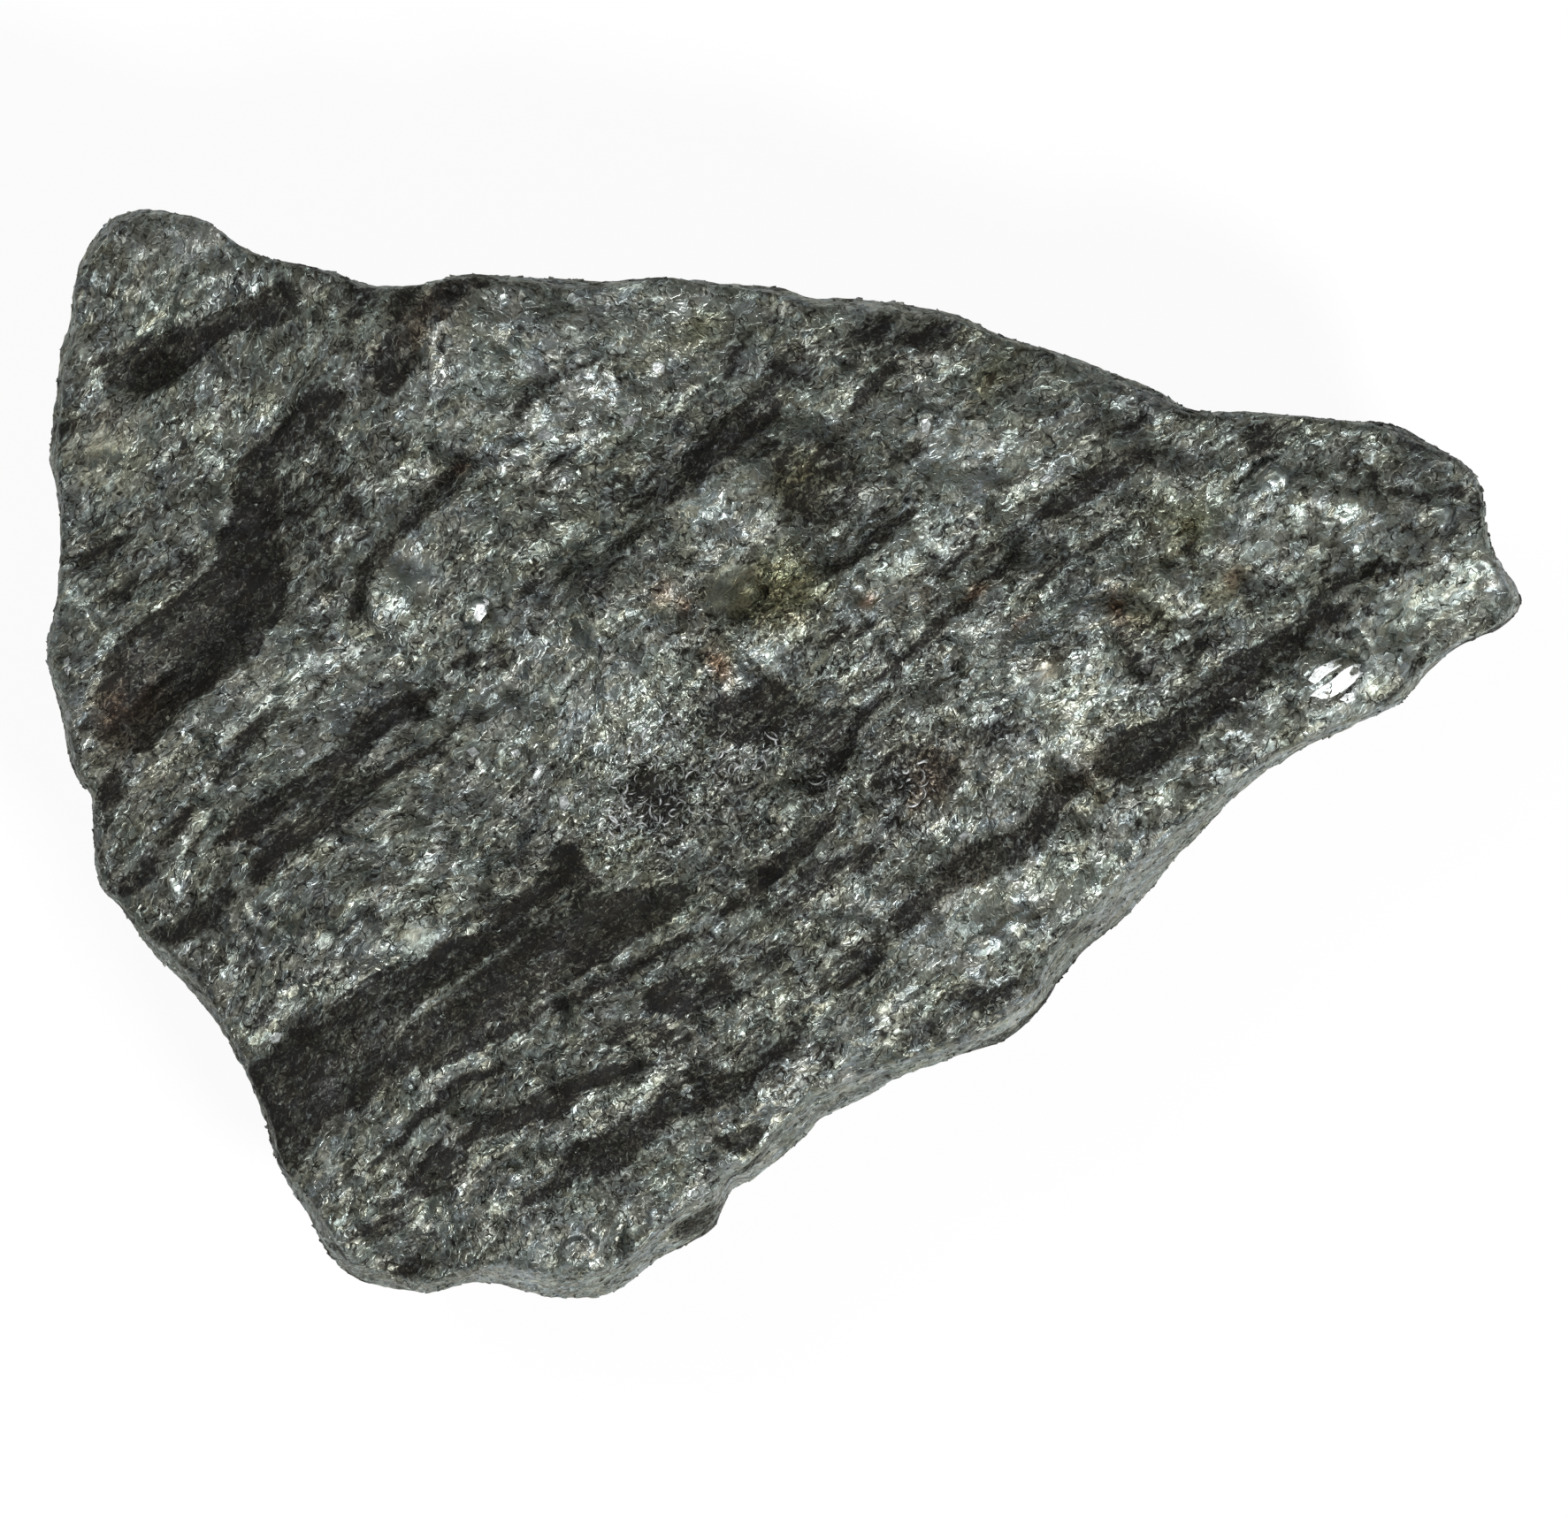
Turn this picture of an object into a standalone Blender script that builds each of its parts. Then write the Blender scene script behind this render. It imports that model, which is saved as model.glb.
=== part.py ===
"""A banded iron ore specimen: one broken slab, a little over 80 mm long, lying on its flatter side.

Lengths are in millimetres until the mesh is made, which turns them into metres. +X runs along the slab,
+Y across it and +Z is up. The slab's side is a stack of rings. An upper sheet with the broken face and a
lower sheet with the flat place that the slab rests on close it.
"""

import math
import random

import bmesh
import bpy
from mathutils import Vector, noise
from mathutils.geometry import delaunay_2d_cdt

METRES_PER_MM = 0.001

# driving sizes of the slab
UPPER_HEIGHT = 17.4  # of the broken face at its crest
CREST_TURN = 16.0  # degrees from +X to the crest, which runs the length of the slab
CREST_FALLS = {"right": 3.0, "left": 1.2, "upper": 1.6, "lower": 2.2}  # from the crest to each edge
HALF_SPANS = {"right": 42.0, "left": 40.0, "upper": 27.0, "lower": 26.0}
MIDDLE = Vector((-4.0, 0.5))  # the rings shrink towards this point

# how finely each surface is divided
RING_STEP = 1.15
UPPER_STEP = 1.17
LOWER_STEP = 2.6
SCATTER = 0.22  # share of a step by which a grid point is moved

# the slab seen from above, from the upper left lobe clockwise round the right tip and back
OUTLINE = [
    (-35.8, 30.9), (-33.6, 30.6), (-32.2, 30.1), (-30.9, 28.9), (-29.0, 28.0), (-26.8, 27.6),
    (-24.8, 27.2), (-23.6, 26.7), (-21.0, 26.7), (-17.6, 27.2), (-15.0, 26.9), (-10.1, 26.7),
    (-6.6, 27.1), (-3.9, 26.9), (-0.3, 26.7), (2.0, 25.8), (5.6, 25.5), (9.8, 24.9), (11.4, 24.2),
    (15.5, 22.7), (18.6, 21.6), (21.4, 20.4), (23.1, 19.4), (24.9, 19.4), (27.2, 19.3), (30.8, 19.0),
    (34.8, 18.6), (36.7, 17.6), (38.3, 16.8), (39.4, 15.7), (39.9, 14.5), (40.0, 12.6), (40.3, 11.5),
    (41.0, 10.3), (41.8, 9.2), (41.8, 8.3), (40.6, 7.1), (38.2, 6.1), (36.1, 4.2), (35.2, 3.1),
    (33.6, 2.2), (29.7, 0.4), (28.3, -0.5), (26.7, -1.6), (24.4, -3.7), (22.7, -5.4), (21.5, -6.9),
    (19.5, -9.1), (17.7, -10.6), (17.0, -11.4), (15.9, -12.8), (15.2, -14.1), (13.2, -16.0),
    (11.8, -16.6), (9.5, -17.2), (6.5, -18.4), (4.6, -19.5), (2.1, -20.6), (1.5, -21.6), (0.1, -22.8),
    (-2.0, -24.7), (-3.2, -25.3), (-3.4, -26.7), (-4.8, -27.7), (-6.6, -28.4), (-8.0, -29.4),
    (-9.7, -30.6), (-11.0, -30.9), (-12.9, -30.9), (-15.1, -30.2), (-17.6, -29.8), (-19.6, -30.4),
    (-21.9, -30.3), (-23.9, -29.8), (-25.7, -28.2), (-26.8, -25.9), (-28.3, -23.4), (-29.4, -20.1),
    (-30.9, -17.1), (-32.2, -14.9), (-33.7, -13.2), (-36.3, -10.4), (-37.0, -9.0), (-38.1, -8.0),
    (-38.7, -6.8), (-39.0, -3.4), (-39.1, -1.9), (-40.1, -1.2), (-40.2, -0.4), (-40.8, 2.7), (-41.7, 6.3),
    (-41.1, 8.0), (-40.9, 9.6), (-40.7, 12.3), (-40.7, 14.8), (-41.1, 16.3), (-41.0, 21.8), (-40.4, 25.1),
    (-40.2, 27.3), (-39.6, 28.6), (-38.9, 29.7), (-37.4, 30.7),
]

# the side all round, by bearing from the middle in degrees: width of the sloping brow that shows from above,
# height of the widest line as a share of the edge, undercut of the foot, and height of the foot
SIDES = [
    (4, 0.9, 0.58, 4.0, 6.5), (14, 0.6, 0.55, 5.0, 7.0), (24, 0.5, 0.70, 4.0, 6.0),
    (33, 0.6, 0.75, 3.0, 4.8), (45, 0.8, 0.68, 3.6, 4.0), (62, 0.6, 0.78, 2.4, 3.0),
    (88, 0.5, 0.80, 3.2, 3.4), (110, 0.6, 0.70, 4.6, 2.8), (130, 0.5, 0.72, 3.6, 3.6),
    (143, 0.8, 0.58, 6.0, 5.0), (160, 0.4, 0.80, 2.8, 3.8), (178, 0.5, 0.68, 3.8, 3.0),
    (190, 0.6, 0.60, 4.8, 3.6), (206, 0.7, 0.66, 2.8, 3.2), (222, 0.5, 0.74, 2.6, 2.6),
    (236, 1.0, 0.55, 5.2, 4.4), (250, 1.1, 0.50, 5.8, 5.0), (266, 1.8, 0.44, 4.0, 3.6),
    (282, 1.7, 0.50, 2.8, 2.6), (300, 1.0, 0.62, 3.6, 3.2), (320, 1.3, 0.50, 4.2, 3.8),
    (338, 1.8, 0.44, 3.4, 4.2), (352, 1.5, 0.50, 3.0, 5.4),
]

# the flat place underneath, inside the feet of the rings
REST_CORNERS = [
    (-25.0, 9.0), (-21.0, 14.0), (-9.0, 15.5), (6.0, 13.0), (16.0, 9.5), (20.0, 3.5), (14.0, -4.0),
    (5.0, -9.5), (-5.0, -15.0), (-15.0, -17.0), (-22.0, -10.0), (-26.0, 0.0),
]
UNDER_SLOPE = 0.42  # rise of the underside per mm outside the flat place
REST_EDGE_STEP = 3.5

# the grain of the layers: places with the direction, in degrees, that they run there
GRAIN = [
    (-32.0, 24.0, 27.0), (-31.0, 10.0, 55.0), (-22.0, 13.0, 50.0), (-33.0, -4.0, 42.0), (-22.0, 0.0, 36.0),
    (-6.0, 14.0, 40.0), (12.0, 16.0, 38.0), (11.0, 9.0, 38.0), (26.0, 5.0, 35.0), (14.0, -3.0, 36.0),
    (-6.0, -8.0, 33.0), (-20.0, -14.0, 27.0), (-15.0, -22.0, 28.0), (-2.0, -18.0, 33.0),
]
MAIN_GRAIN = math.radians(36.0)
GRAIN_REACH = 11.0
LAYER_DIP = 0.35  # how far the layers lean with depth, in mm per mm

# steps in the broken face, each from its upper right end down. The ground stands high on the lower right:
# height, reach of the high ground, width of the step, and the points
SCARPS = [
    (1.5, 8.0, 0.8, [(-1.4, 19.7), (-4.4, 17.9), (-5.9, 15.4), (-7.4, 13.2), (-9.9, 10.7), (-13.4, 9.9)]),
    (0.7, 4.0, 0.6, [(-17.8, 16.5), (-20.6, 14.2), (-22.6, 11.8), (-24.6, 8.2)]),
    (0.6, 4.0, 0.5, [(6.3, 13.8), (3.9, 11.5), (1.9, 9.9)]),
    (0.9, 6.0, 0.8, [
        (32.0, 8.6), (27.2, 5.4), (22.0, 1.7), (16.2, -1.4), (11.2, -5.2), (7.6, -8.2), (3.0, -11.8),
    ]),
    (0.6, 5.0, 0.7, [(-9.4, -7.6), (-16.6, -11.6), (-23.4, -14.6), (-29.0, -17.2)]),
    (0.6, 5.0, 0.6, [(-18.4, 3.2), (-23.9, 0.4), (-28.2, -3.0), (-31.0, -6.4)]),
    (0.5, 4.0, 0.6, [(-28.0, 1.4), (-32.0, -2.0), (-35.4, -5.8), (-37.6, -8.0)]),
    (0.6, 5.0, 0.6, [(1.4, -15.0), (-3.4, -19.2), (-9.0, -22.0), (-13.4, -24.6)]),
    (0.5, 4.0, 0.6, [(4.9, -2.8), (0.0, -6.4), (-5.6, -9.9), (-8.4, -12.2)]),
    (0.8, 5.0, 0.7, [(-27.4, 16.4), (-28.0, 11.4), (-31.4, 6.0), (-35.0, 1.2), (-38.2, -0.6)]),
]

# grooves: depth, half width and the points
GROOVES = [
    (0.7, 1.6, [(-25.4, 20.2), (-28.6, 17.6), (-29.6, 13.6), (-30.6, 8.8), (-34.0, 4.4), (-38.4, 1.2)]),
    (0.5, 0.9, [(-17.9, 16.6), (-21.0, 13.2), (-24.4, 9.0)]),
    (0.5, 0.8, [(6.0, 21.2), (3.8, 18.6), (2.4, 17.4)]),
    (0.6, 0.7, [(6.4, 13.9), (3.6, 11.2), (2.0, 10.0)]),
    (0.5, 1.2, [(32.2, 8.8), (27.4, 5.6), (21.4, 1.2), (16.4, -1.1), (9.2, -6.6), (3.4, -12.0)]),
    (0.4, 1.0, [(5.5, 3.6), (3.4, 0.7), (1.4, -1.8)]),
    (0.4, 0.7, [(-8.8, -12.2), (-15.0, -16.4), (-19.4, -19.6), (-22.8, -22.8)]),
    (0.4, 1.2, [(-37.0, 21.4), (-32.0, 23.8), (-26.2, 25.8)]),
    (0.6, 0.8, [(-24.0, -28.4), (-21.0, -28.3), (-18.2, -29.0)]),
]

# swells and, with a height under zero, hollows: place, half length along the grain, half width, height
SWELLS = [
    (-33.6, 27.0, 6.0, 4.0, 0.7), (-2.6, 14.6, 5.0, 3.4, 0.6), (-14.5, 19.0, 7.0, 3.4, 0.5),
    (2.6, 6.2, 5.0, 3.6, 0.6), (17.0, 6.4, 8.0, 3.2, 0.6), (15.6, 0.6, 5.0, 2.2, 0.6),
    (31.4, 6.0, 4.5, 2.4, 0.7), (36.6, 11.4, 4.0, 3.0, 0.8), (-10.6, 1.8, 7.0, 3.0, 0.6),
    (-20.6, -5.6, 8.0, 3.2, 0.6), (7.6, -12.8, 6.0, 2.4, 0.7), (-10.6, -27.4, 5.0, 2.6, 0.6),
    (-17.0, -17.0, 7.0, 1.6, 0.4), (12.4, -12.8, 4.0, 1.8, 0.5), (-34.0, 18.0, 4.0, 4.0, 0.5),
    (-37.4, 6.4, 5.0, 2.0, 0.5), (-2.0, 2.4, 4.5, 2.4, -0.7), (-21.4, -28.2, 4.6, 1.8, -1.3),
    (10.0, 20.4, 7.0, 3.0, -0.5), (26.4, 13.4, 6.0, 3.0, -0.4), (-4.4, -19.8, 5.0, 2.0, -0.5),
    (-29.0, -20.0, 3.0, 3.0, -0.5), (7.2, -1.4, 4.0, 2.4, -0.4), (35.6, 15.4, 3.0, 1.6, -0.5),
]

# small pits: place, radius and depth
PITS = [
    (-27.4, 14.2, 1.3, 0.7), (-27.2, 10.8, 1.1, 0.6), (-25.4, 12.4, 0.9, 0.4), (-4.5, -26.2, 1.2, 0.9),
    (-21.8, -28.6, 1.2, 0.6), (-36.2, -1.0, 1.1, 0.5), (10.4, -15.0, 1.1, 0.5), (29.0, 9.6, 1.0, 0.5),
    (-8.2, 6.0, 1.0, 0.4), (13.6, 12.2, 1.0, 0.4), (-13.0, -6.4, 1.1, 0.4), (22.4, 10.8, 1.0, 0.4),
    (38.2, 8.8, 1.0, 0.5), (-31.6, -11.0, 1.0, 0.4), (4.2, 21.8, 1.1, 0.4), (-2.2, -21.6, 1.0, 0.5),
]

# flat crystal faces that stand a little proud: place, length, width, turn in degrees, rise,
# and the fall of the face per mm towards +X and towards +Y
CRYSTALS = [
    (30.9, 4.1, 3.2, 2.2, 32, 0.25, -0.10, 0.16), (-17.1, 7.9, 1.9, 1.3, 62, 0.22, -0.12, 0.18),
    (-0.9, 5.8, 2.2, 1.5, 30, 0.20, -0.10, 0.20), (8.1, 18.6, 1.5, 1.0, 74, 0.18, -0.16, 0.10),
    (4.2, -8.1, 1.8, 1.2, 35, 0.18, -0.10, 0.16), (11.2, -10.9, 2.2, 1.3, 28, 0.20, -0.08, 0.22),
    (-7.1, 21.9, 1.7, 1.2, 50, 0.18, -0.14, 0.12), (36.6, 13.0, 2.6, 1.6, 24, 0.22, -0.16, 0.12),
    (27.6, 15.2, 2.0, 1.6, 70, 0.20, -0.10, 0.20), (31.2, 13.9, 2.6, 1.4, 20, 0.18, -0.14, 0.14),
    (-12.4, 15.6, 2.0, 1.3, 40, 0.18, -0.10, 0.18), (19.6, 3.6, 2.4, 1.5, 36, 0.20, -0.12, 0.16),
    (-3.6, -14.2, 1.8, 1.2, 30, 0.16, -0.08, 0.20), (-28.2, -11.2, 1.8, 1.2, 38, 0.16, -0.12, 0.14),
    (-33.2, 25.8, 2.0, 1.4, 60, 0.18, -0.14, 0.10), (-11.4, -28.0, 2.2, 1.4, 20, 0.18, -0.06, 0.22),
]
CRYSTAL_SIDES = 6
CRYSTAL_FOOT = 1.35  # the foot of a crystal is this much wider than its face
CRYSTAL_UNEVEN = 0.45  # share by which its corners wander in and out

# the hackly break, as flat facets: length, width and depth of a facet, its slope, and the step between two
UPPER_FACETS = [(6.5, 3.0, 3.0, 0.15, 0.42), (2.6, 1.5, 1.5, 0.22, 0.22)]
SIDE_FACETS = [(9.0, 9.0, 7.0, 0.26, 1.0), (3.4, 3.4, 2.6, 0.22, 0.35)]
UNDER_FACETS = [(11.0, 7.0, 9.0, 0.16, 0.9), (5.0, 3.6, 4.0, 0.20, 0.5)]
RIBS = [(0.36, 16.0, 2.3), (0.24, 7.0, 1.2)]  # long ribs: height, length and width
MOST_PROUD = 0.12  # of the outline, where the rough side stands out
BROW_WANDER = 0.6  # share by which the width of the brow wanders
WANDER_STEP = 3.6

ORE_COLOUR = (0.115, 0.125, 0.115, 1.0)
ORE_METALLIC = 0.55
ORE_ROUGHNESS = 0.42


def smooth_step(low, high, value):
    """0 below low, 1 above high, and a smooth rise between them."""
    share = min(max((value - low) / (high - low), 0.0), 1.0)
    return share * share * (3.0 - 2.0 * share)


def closed_curve(points, step):
    """Points a step apart on the smooth closed curve through the given points."""
    fine = []
    count = len(points)
    for i in range(count):
        before, start, end, after = (Vector(points[(i + k) % count]) for k in (-1, 0, 1, 2))
        pieces = max(2, math.ceil((end - start).length / (step * 0.1)))
        for j in range(pieces):
            t = j / pieces
            pull_start = (end - before) * 0.5
            pull_end = (after - start) * 0.5
            bend = (end - start) * 3.0 - pull_start * 2.0 - pull_end
            turn = (start - end) * 2.0 + pull_start + pull_end
            fine.append(start + pull_start * t + bend * t**2 + turn * t**3)
    lengths = [(fine[(i + 1) % len(fine)] - p).length for i, p in enumerate(fine)]
    total = sum(lengths)
    wanted = round(total / step)
    curve = []
    travelled = 0.0
    for point, length in zip(fine, lengths):
        if travelled >= len(curve) * total / wanted - 1e-9 and len(curve) < wanted:
            curve.append(point)
        travelled += length
    return curve


def grain_point(x, y):
    """The place in the layers' own directions: how far along them and how far across."""
    along = across = weights = 0.0
    for near_x, near_y, degrees in GRAIN:
        weight = math.exp(-((x - near_x) ** 2 + (y - near_y) ** 2) / (2.0 * GRAIN_REACH**2)) + 1e-6
        turn = math.radians(degrees)
        from_x = x - near_x
        from_y = y - near_y
        base_along = near_x * math.cos(MAIN_GRAIN) + near_y * math.sin(MAIN_GRAIN)
        base_across = near_y * math.cos(MAIN_GRAIN) - near_x * math.sin(MAIN_GRAIN)
        along += weight * (base_along + from_x * math.cos(turn) + from_y * math.sin(turn))
        across += weight * (base_across + from_y * math.cos(turn) - from_x * math.sin(turn))
        weights += weight
    return along / weights, across / weights


def line_place(x, y, line):
    """Distance to a line of points, below zero on its right, and how far along the line it is, 0 to 1."""
    point = Vector((x, y))
    best = (1e9, 0.0, 0.0)
    for i in range(len(line) - 1):
        start = Vector(line[i])
        run = Vector(line[i + 1]) - start
        share = min(max((point - start).dot(run) / run.length_squared, 0.0), 1.0)
        gap = point - (start + run * share)
        if gap.length < best[0]:
            side = run.x * gap.y - run.y * gap.x
            best = (gap.length, side, (i + share) / (len(line) - 1))
    return math.copysign(best[0], best[1]), best[2]


def end_fade(share):
    """A line's relief dies out over its last tenths."""
    return smooth_step(0.0, 0.15, share) * smooth_step(0.0, 0.15, 1.0 - share)


def scarp_height(x, y):
    total = 0.0
    for height, reach, width, line in SCARPS:
        gap, share = line_place(x, y, line)
        if abs(gap) > 3.0 * reach:
            continue
        high = smooth_step(-width, width, gap) * math.exp(-max(gap, 0.0) / reach)
        low = 0.45 * math.exp(-((gap + width) / (2.0 * width)) ** 2)
        total += height * (high - low) * end_fade(share)
    return total


def groove_height(x, y):
    total = 0.0
    for depth, half_width, line in GROOVES:
        gap, share = line_place(x, y, line)
        total -= depth * math.exp(-((gap / half_width) ** 2)) * end_fade(share)
    return total


def swell_height(x, y):
    total = 0.0
    along, across = grain_point(x, y)
    for place_x, place_y, half_length, half_width, height in SWELLS:
        place_along, place_across = grain_point(place_x, place_y)
        far = ((along - place_along) / half_length) ** 2 + ((across - place_across) / half_width) ** 2
        total += height * math.exp(-far)
    return total


def pit_height(x, y):
    total = 0.0
    for place_x, place_y, radius, depth in PITS:
        far = math.hypot(x - place_x, y - place_y) / radius
        total -= depth * max(0.0, 1.0 - far**2)
    return total


def facet_height(place, facets):
    """Flat facets of the broken stone, each tilted its own way, with small steps between them."""
    total = 0.0
    for length, width, depth, slope, step in facets:
        scaled = Vector((place[0] / length, place[1] / width, place[2] / depth))
        near = noise.voronoi(scaled)[1][0]
        tilt = noise.cell_vector(near * 17.3) * 2.0 - Vector((1.0, 1.0, 1.0))
        gap = scaled - near
        total += slope * (tilt.x * gap.x * length + tilt.y * gap.y * width + tilt.z * gap.z * depth)
        total += step * (noise.cell(near * 31.7) - 0.5)
    return total


def rib_height(along, across, depth):
    """Long ribs where layer after layer breaks off, sharper than plain waves."""
    total = 0.0
    for height, length, width in RIBS:
        wave = noise.noise(Vector((along / length, across / width, depth / length)))
        total += height * math.copysign(abs(wave) ** 0.7, wave)
    return total


def crest_height(x, y):
    """The broad form of the upper face, which falls away from its crest to all sides."""
    turn = math.radians(CREST_TURN)
    along = x * math.cos(turn) + y * math.sin(turn)
    across = y * math.cos(turn) - x * math.sin(turn)
    length_side = "right" if along > 0 else "left"
    width_side = "upper" if across > 0 else "lower"
    fall = CREST_FALLS[length_side] * (along / HALF_SPANS[length_side]) ** 2
    fall += CREST_FALLS[width_side] * (across / HALF_SPANS[width_side]) ** 2
    return UPPER_HEIGHT - fall


def upper_height(x, y):
    along, across = grain_point(x, y)
    height = crest_height(x, y) + scarp_height(x, y) + groove_height(x, y)
    height += swell_height(x, y) + pit_height(x, y)
    return height + facet_height((along, across, 0.0), UPPER_FACETS) + rib_height(along, across, 0.0)


def side_values(point):
    """The side's four measures at this bearing, each between those of the two nearest entries."""
    bearing = math.degrees(math.atan2(point.y - MIDDLE.y, point.x - MIDDLE.x)) % 360.0
    for i, entry in enumerate(SIDES):
        following = SIDES[(i + 1) % len(SIDES)]
        span = (following[0] - entry[0]) % 360.0
        past = (bearing - entry[0]) % 360.0
        if past < span:
            share = smooth_step(0.2, 0.8, past / span)
            return [a + (b - a) * share for a, b in zip(entry[1:], following[1:])]
    return SIDES[0][1:]


def wander(point, level):
    """A smooth number between about -1 and 1 that changes round the side and from ring to ring."""
    return 1.6 * noise.noise(Vector((point.x / WANDER_STEP, point.y / WANDER_STEP, 5.3 * level)))


def side_bulge(place):
    """How far the broken side stands out here: facets, and ribs that carry on down from the upper face."""
    along, across = grain_point(place.x, place.y)
    across += place.z * LAYER_DIP
    return facet_height(place, SIDE_FACETS) + rib_height(along, across, place.z)


def softened(values):
    """Numbers round a closed ring, each drawn halfway to the mean of its two neighbours."""
    count = len(values)
    return [0.5 * values[i] + 0.25 * (values[i - 1] + values[(i + 1) % count]) for i in range(count)]


def side_rings(outline):
    """Rings of points from the edge of the upper face down to the foot of the side."""
    columns = []
    for point in outline:
        brow, widest_share, undercut, foot = side_values(point)
        brow *= 1.0 + BROW_WANDER * wander(point, 0)
        edge = point + (MIDDLE - point).normalized() * brow
        edge_height = upper_height(edge.x, edge.y) - 0.2
        widest = foot + (edge_height - foot) * widest_share
        rise = edge_height - widest
        drop = widest - foot
        # of each ring: inset from the outline, height, roughness and how far its height wanders
        levels = [
            (brow, edge_height, 0.0, 0.0),
            (brow * 0.55, edge_height - rise * 0.30, 0.25, 0.2),
            (brow * 0.15, edge_height - rise * 0.65, 0.25, 0.4),
            (0.0, widest, 0.12, 0.8),
            (undercut * 0.14, widest - drop * 0.28, 0.8, 0.7),
            (undercut * 0.36, widest - drop * 0.54, 1.0, 0.6),
            (undercut * 0.66, widest - drop * 0.79, 0.9, 0.5),
            (undercut, foot, 0.5, 0.3),
        ]
        column = []
        for level, (inset, height, roughness, lift) in enumerate(levels):
            height += lift * wander(point, level)
            bulge = side_bulge(Vector((point.x, point.y, height)))
            column.append((max(inset - roughness * bulge, -MOST_PROUD), height))
        columns.append(column)
    rings = []
    for level in zip(*columns):
        pushes = softened(softened([push for push, _ in level]))
        ring = []
        for point, push, (_, height) in zip(outline, pushes, level):
            place = point + (MIDDLE - point).normalized() * push
            ring.append(Vector((place.x, place.y, height)))
        rings.append(ring)
    return rings


def inside(point, loop):
    """Whether the point is inside a closed loop of points."""
    within = False
    for i, corner in enumerate(loop):
        following = loop[(i + 1) % len(loop)]
        if (corner[1] > point[1]) != (following[1] > point[1]):
            share = (point[1] - corner[1]) / (following[1] - corner[1])
            if point[0] < corner[0] + share * (following[0] - corner[0]):
                within = not within
    return within


def nearest_gap(point, loop):
    """Distance from a point to a closed loop of points."""
    closed = list(loop) + [loop[0]]
    return abs(line_place(point[0], point[1], closed)[0])


def grid_points(loop, step, keep_off):
    """A loose triangular grid inside a loop, off its edge and off the loops in keep_off."""
    scatter = random.Random(11)
    low_x, high_x = min(p[0] for p in loop), max(p[0] for p in loop)
    low_y, high_y = min(p[1] for p in loop), max(p[1] for p in loop)
    row_height = step * math.sqrt(3.0) / 2.0
    found = []
    for row in range(math.ceil((high_y - low_y) / row_height)):
        for column in range(math.ceil((high_x - low_x) / step) + 1):
            x = low_x + (column + 0.5 * (row % 2)) * step + scatter.uniform(-1, 1) * SCATTER * step
            y = low_y + row * row_height + scatter.uniform(-1, 1) * SCATTER * step
            if not inside((x, y), loop) or nearest_gap((x, y), loop) < 0.55 * step:
                continue
            if any(inside((x, y), off) or nearest_gap((x, y), off) < 0.4 * step for off in keep_off):
                continue
            found.append((x, y))
    return found


def crystal_loops(crystal):
    """The foot and the flat face of a crystal, each as a loop of (x, y, height)."""
    x, y, length, width, degrees, rise, fall_x, fall_y = crystal
    turn = math.radians(degrees)
    ground = upper_height(x, y)
    loops = []
    for scale, lift in ((CRYSTAL_FOOT, None), (1.0, rise)):
        loop = []
        for i in range(CRYSTAL_SIDES):
            angle = math.tau * (i + 0.3) / CRYSTAL_SIDES
            reach = 0.5 * scale * (1.0 + CRYSTAL_UNEVEN * noise.noise(Vector((x, y, 1.7 * i + 0.4))))
            out = Vector((math.cos(angle) * length, math.sin(angle) * width)) * reach
            corner_x = x + out.x * math.cos(turn) - out.y * math.sin(turn)
            corner_y = y + out.x * math.sin(turn) + out.y * math.cos(turn)
            if lift is None:
                height = upper_height(corner_x, corner_y)
            else:
                height = ground + lift + fall_x * (corner_x - x) + fall_y * (corner_y - y)
            loop.append((corner_x, corner_y, height))
        loops.append(loop)
    return loops


def fill_sheet(ring, loops, loose, height_at):
    """Triangles inside a ring, with the loops kept as edges. Returns the new points and the triangles."""
    points = [(p.x, p.y) for p in ring]
    heights = [p.z for p in ring]
    edges = [(i, (i + 1) % len(ring)) for i in range(len(ring))]
    for loop in loops:
        first = len(points)
        points += [(x, y) for x, y, _ in loop]
        heights += [z for _, _, z in loop]
        edges += [(first + i, first + (i + 1) % len(loop)) for i in range(len(loop))]
    points += loose
    heights += [height_at(x, y) for x, y in loose]
    made, _, faces, sources, _, _ = delaunay_2d_cdt([Vector(p) for p in points], edges, [], 1, 1e-6)
    origin = [source[0] for source in sources]
    added = [Vector((*points[i], heights[i])) for i in range(len(ring), len(points))]
    if len(made) != len(points):
        raise ValueError("two points of a sheet fell together, or two of its loops cross")
    return added, [[origin[i] for i in face] for face in faces]


def upper_sheet(ring):
    loops = []
    faces_off = []
    for crystal in CRYSTALS:
        foot, face = crystal_loops(crystal)
        loops += [foot, face]
        faces_off.append([(x, y) for x, y, _ in foot])
    loose = grid_points([(p.x, p.y) for p in ring], UPPER_STEP, faces_off)
    return fill_sheet(ring, loops, loose, upper_height)


def divided(loop, step):
    """A closed loop with points added so that none is much more than a step from the next."""
    result = []
    for i, corner in enumerate(loop):
        start = Vector(corner)
        run = Vector(loop[(i + 1) % len(loop)]) - start
        pieces = max(1, round(run.length / step))
        result += [tuple(start + run * (j / pieces)) for j in range(pieces)]
    return result


def under_height(x, y):
    """Height of the underside, which is flat inside the rest corners and rises outside them."""
    if inside((x, y), REST_CORNERS):
        return 0.0
    gap = nearest_gap((x, y), REST_CORNERS)
    rough = facet_height((x, y, 0.0), UNDER_FACETS) * smooth_step(0.0, 4.0, gap)
    return max(0.0, UNDER_SLOPE * gap + rough)


def lower_sheet(ring):
    rest = [(x, y, 0.0) for x, y in divided(REST_CORNERS, REST_EDGE_STEP)]
    loose = grid_points([(p.x, p.y) for p in ring], LOWER_STEP, [REST_CORNERS])
    return fill_sheet(ring, [rest], loose, under_height)


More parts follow.
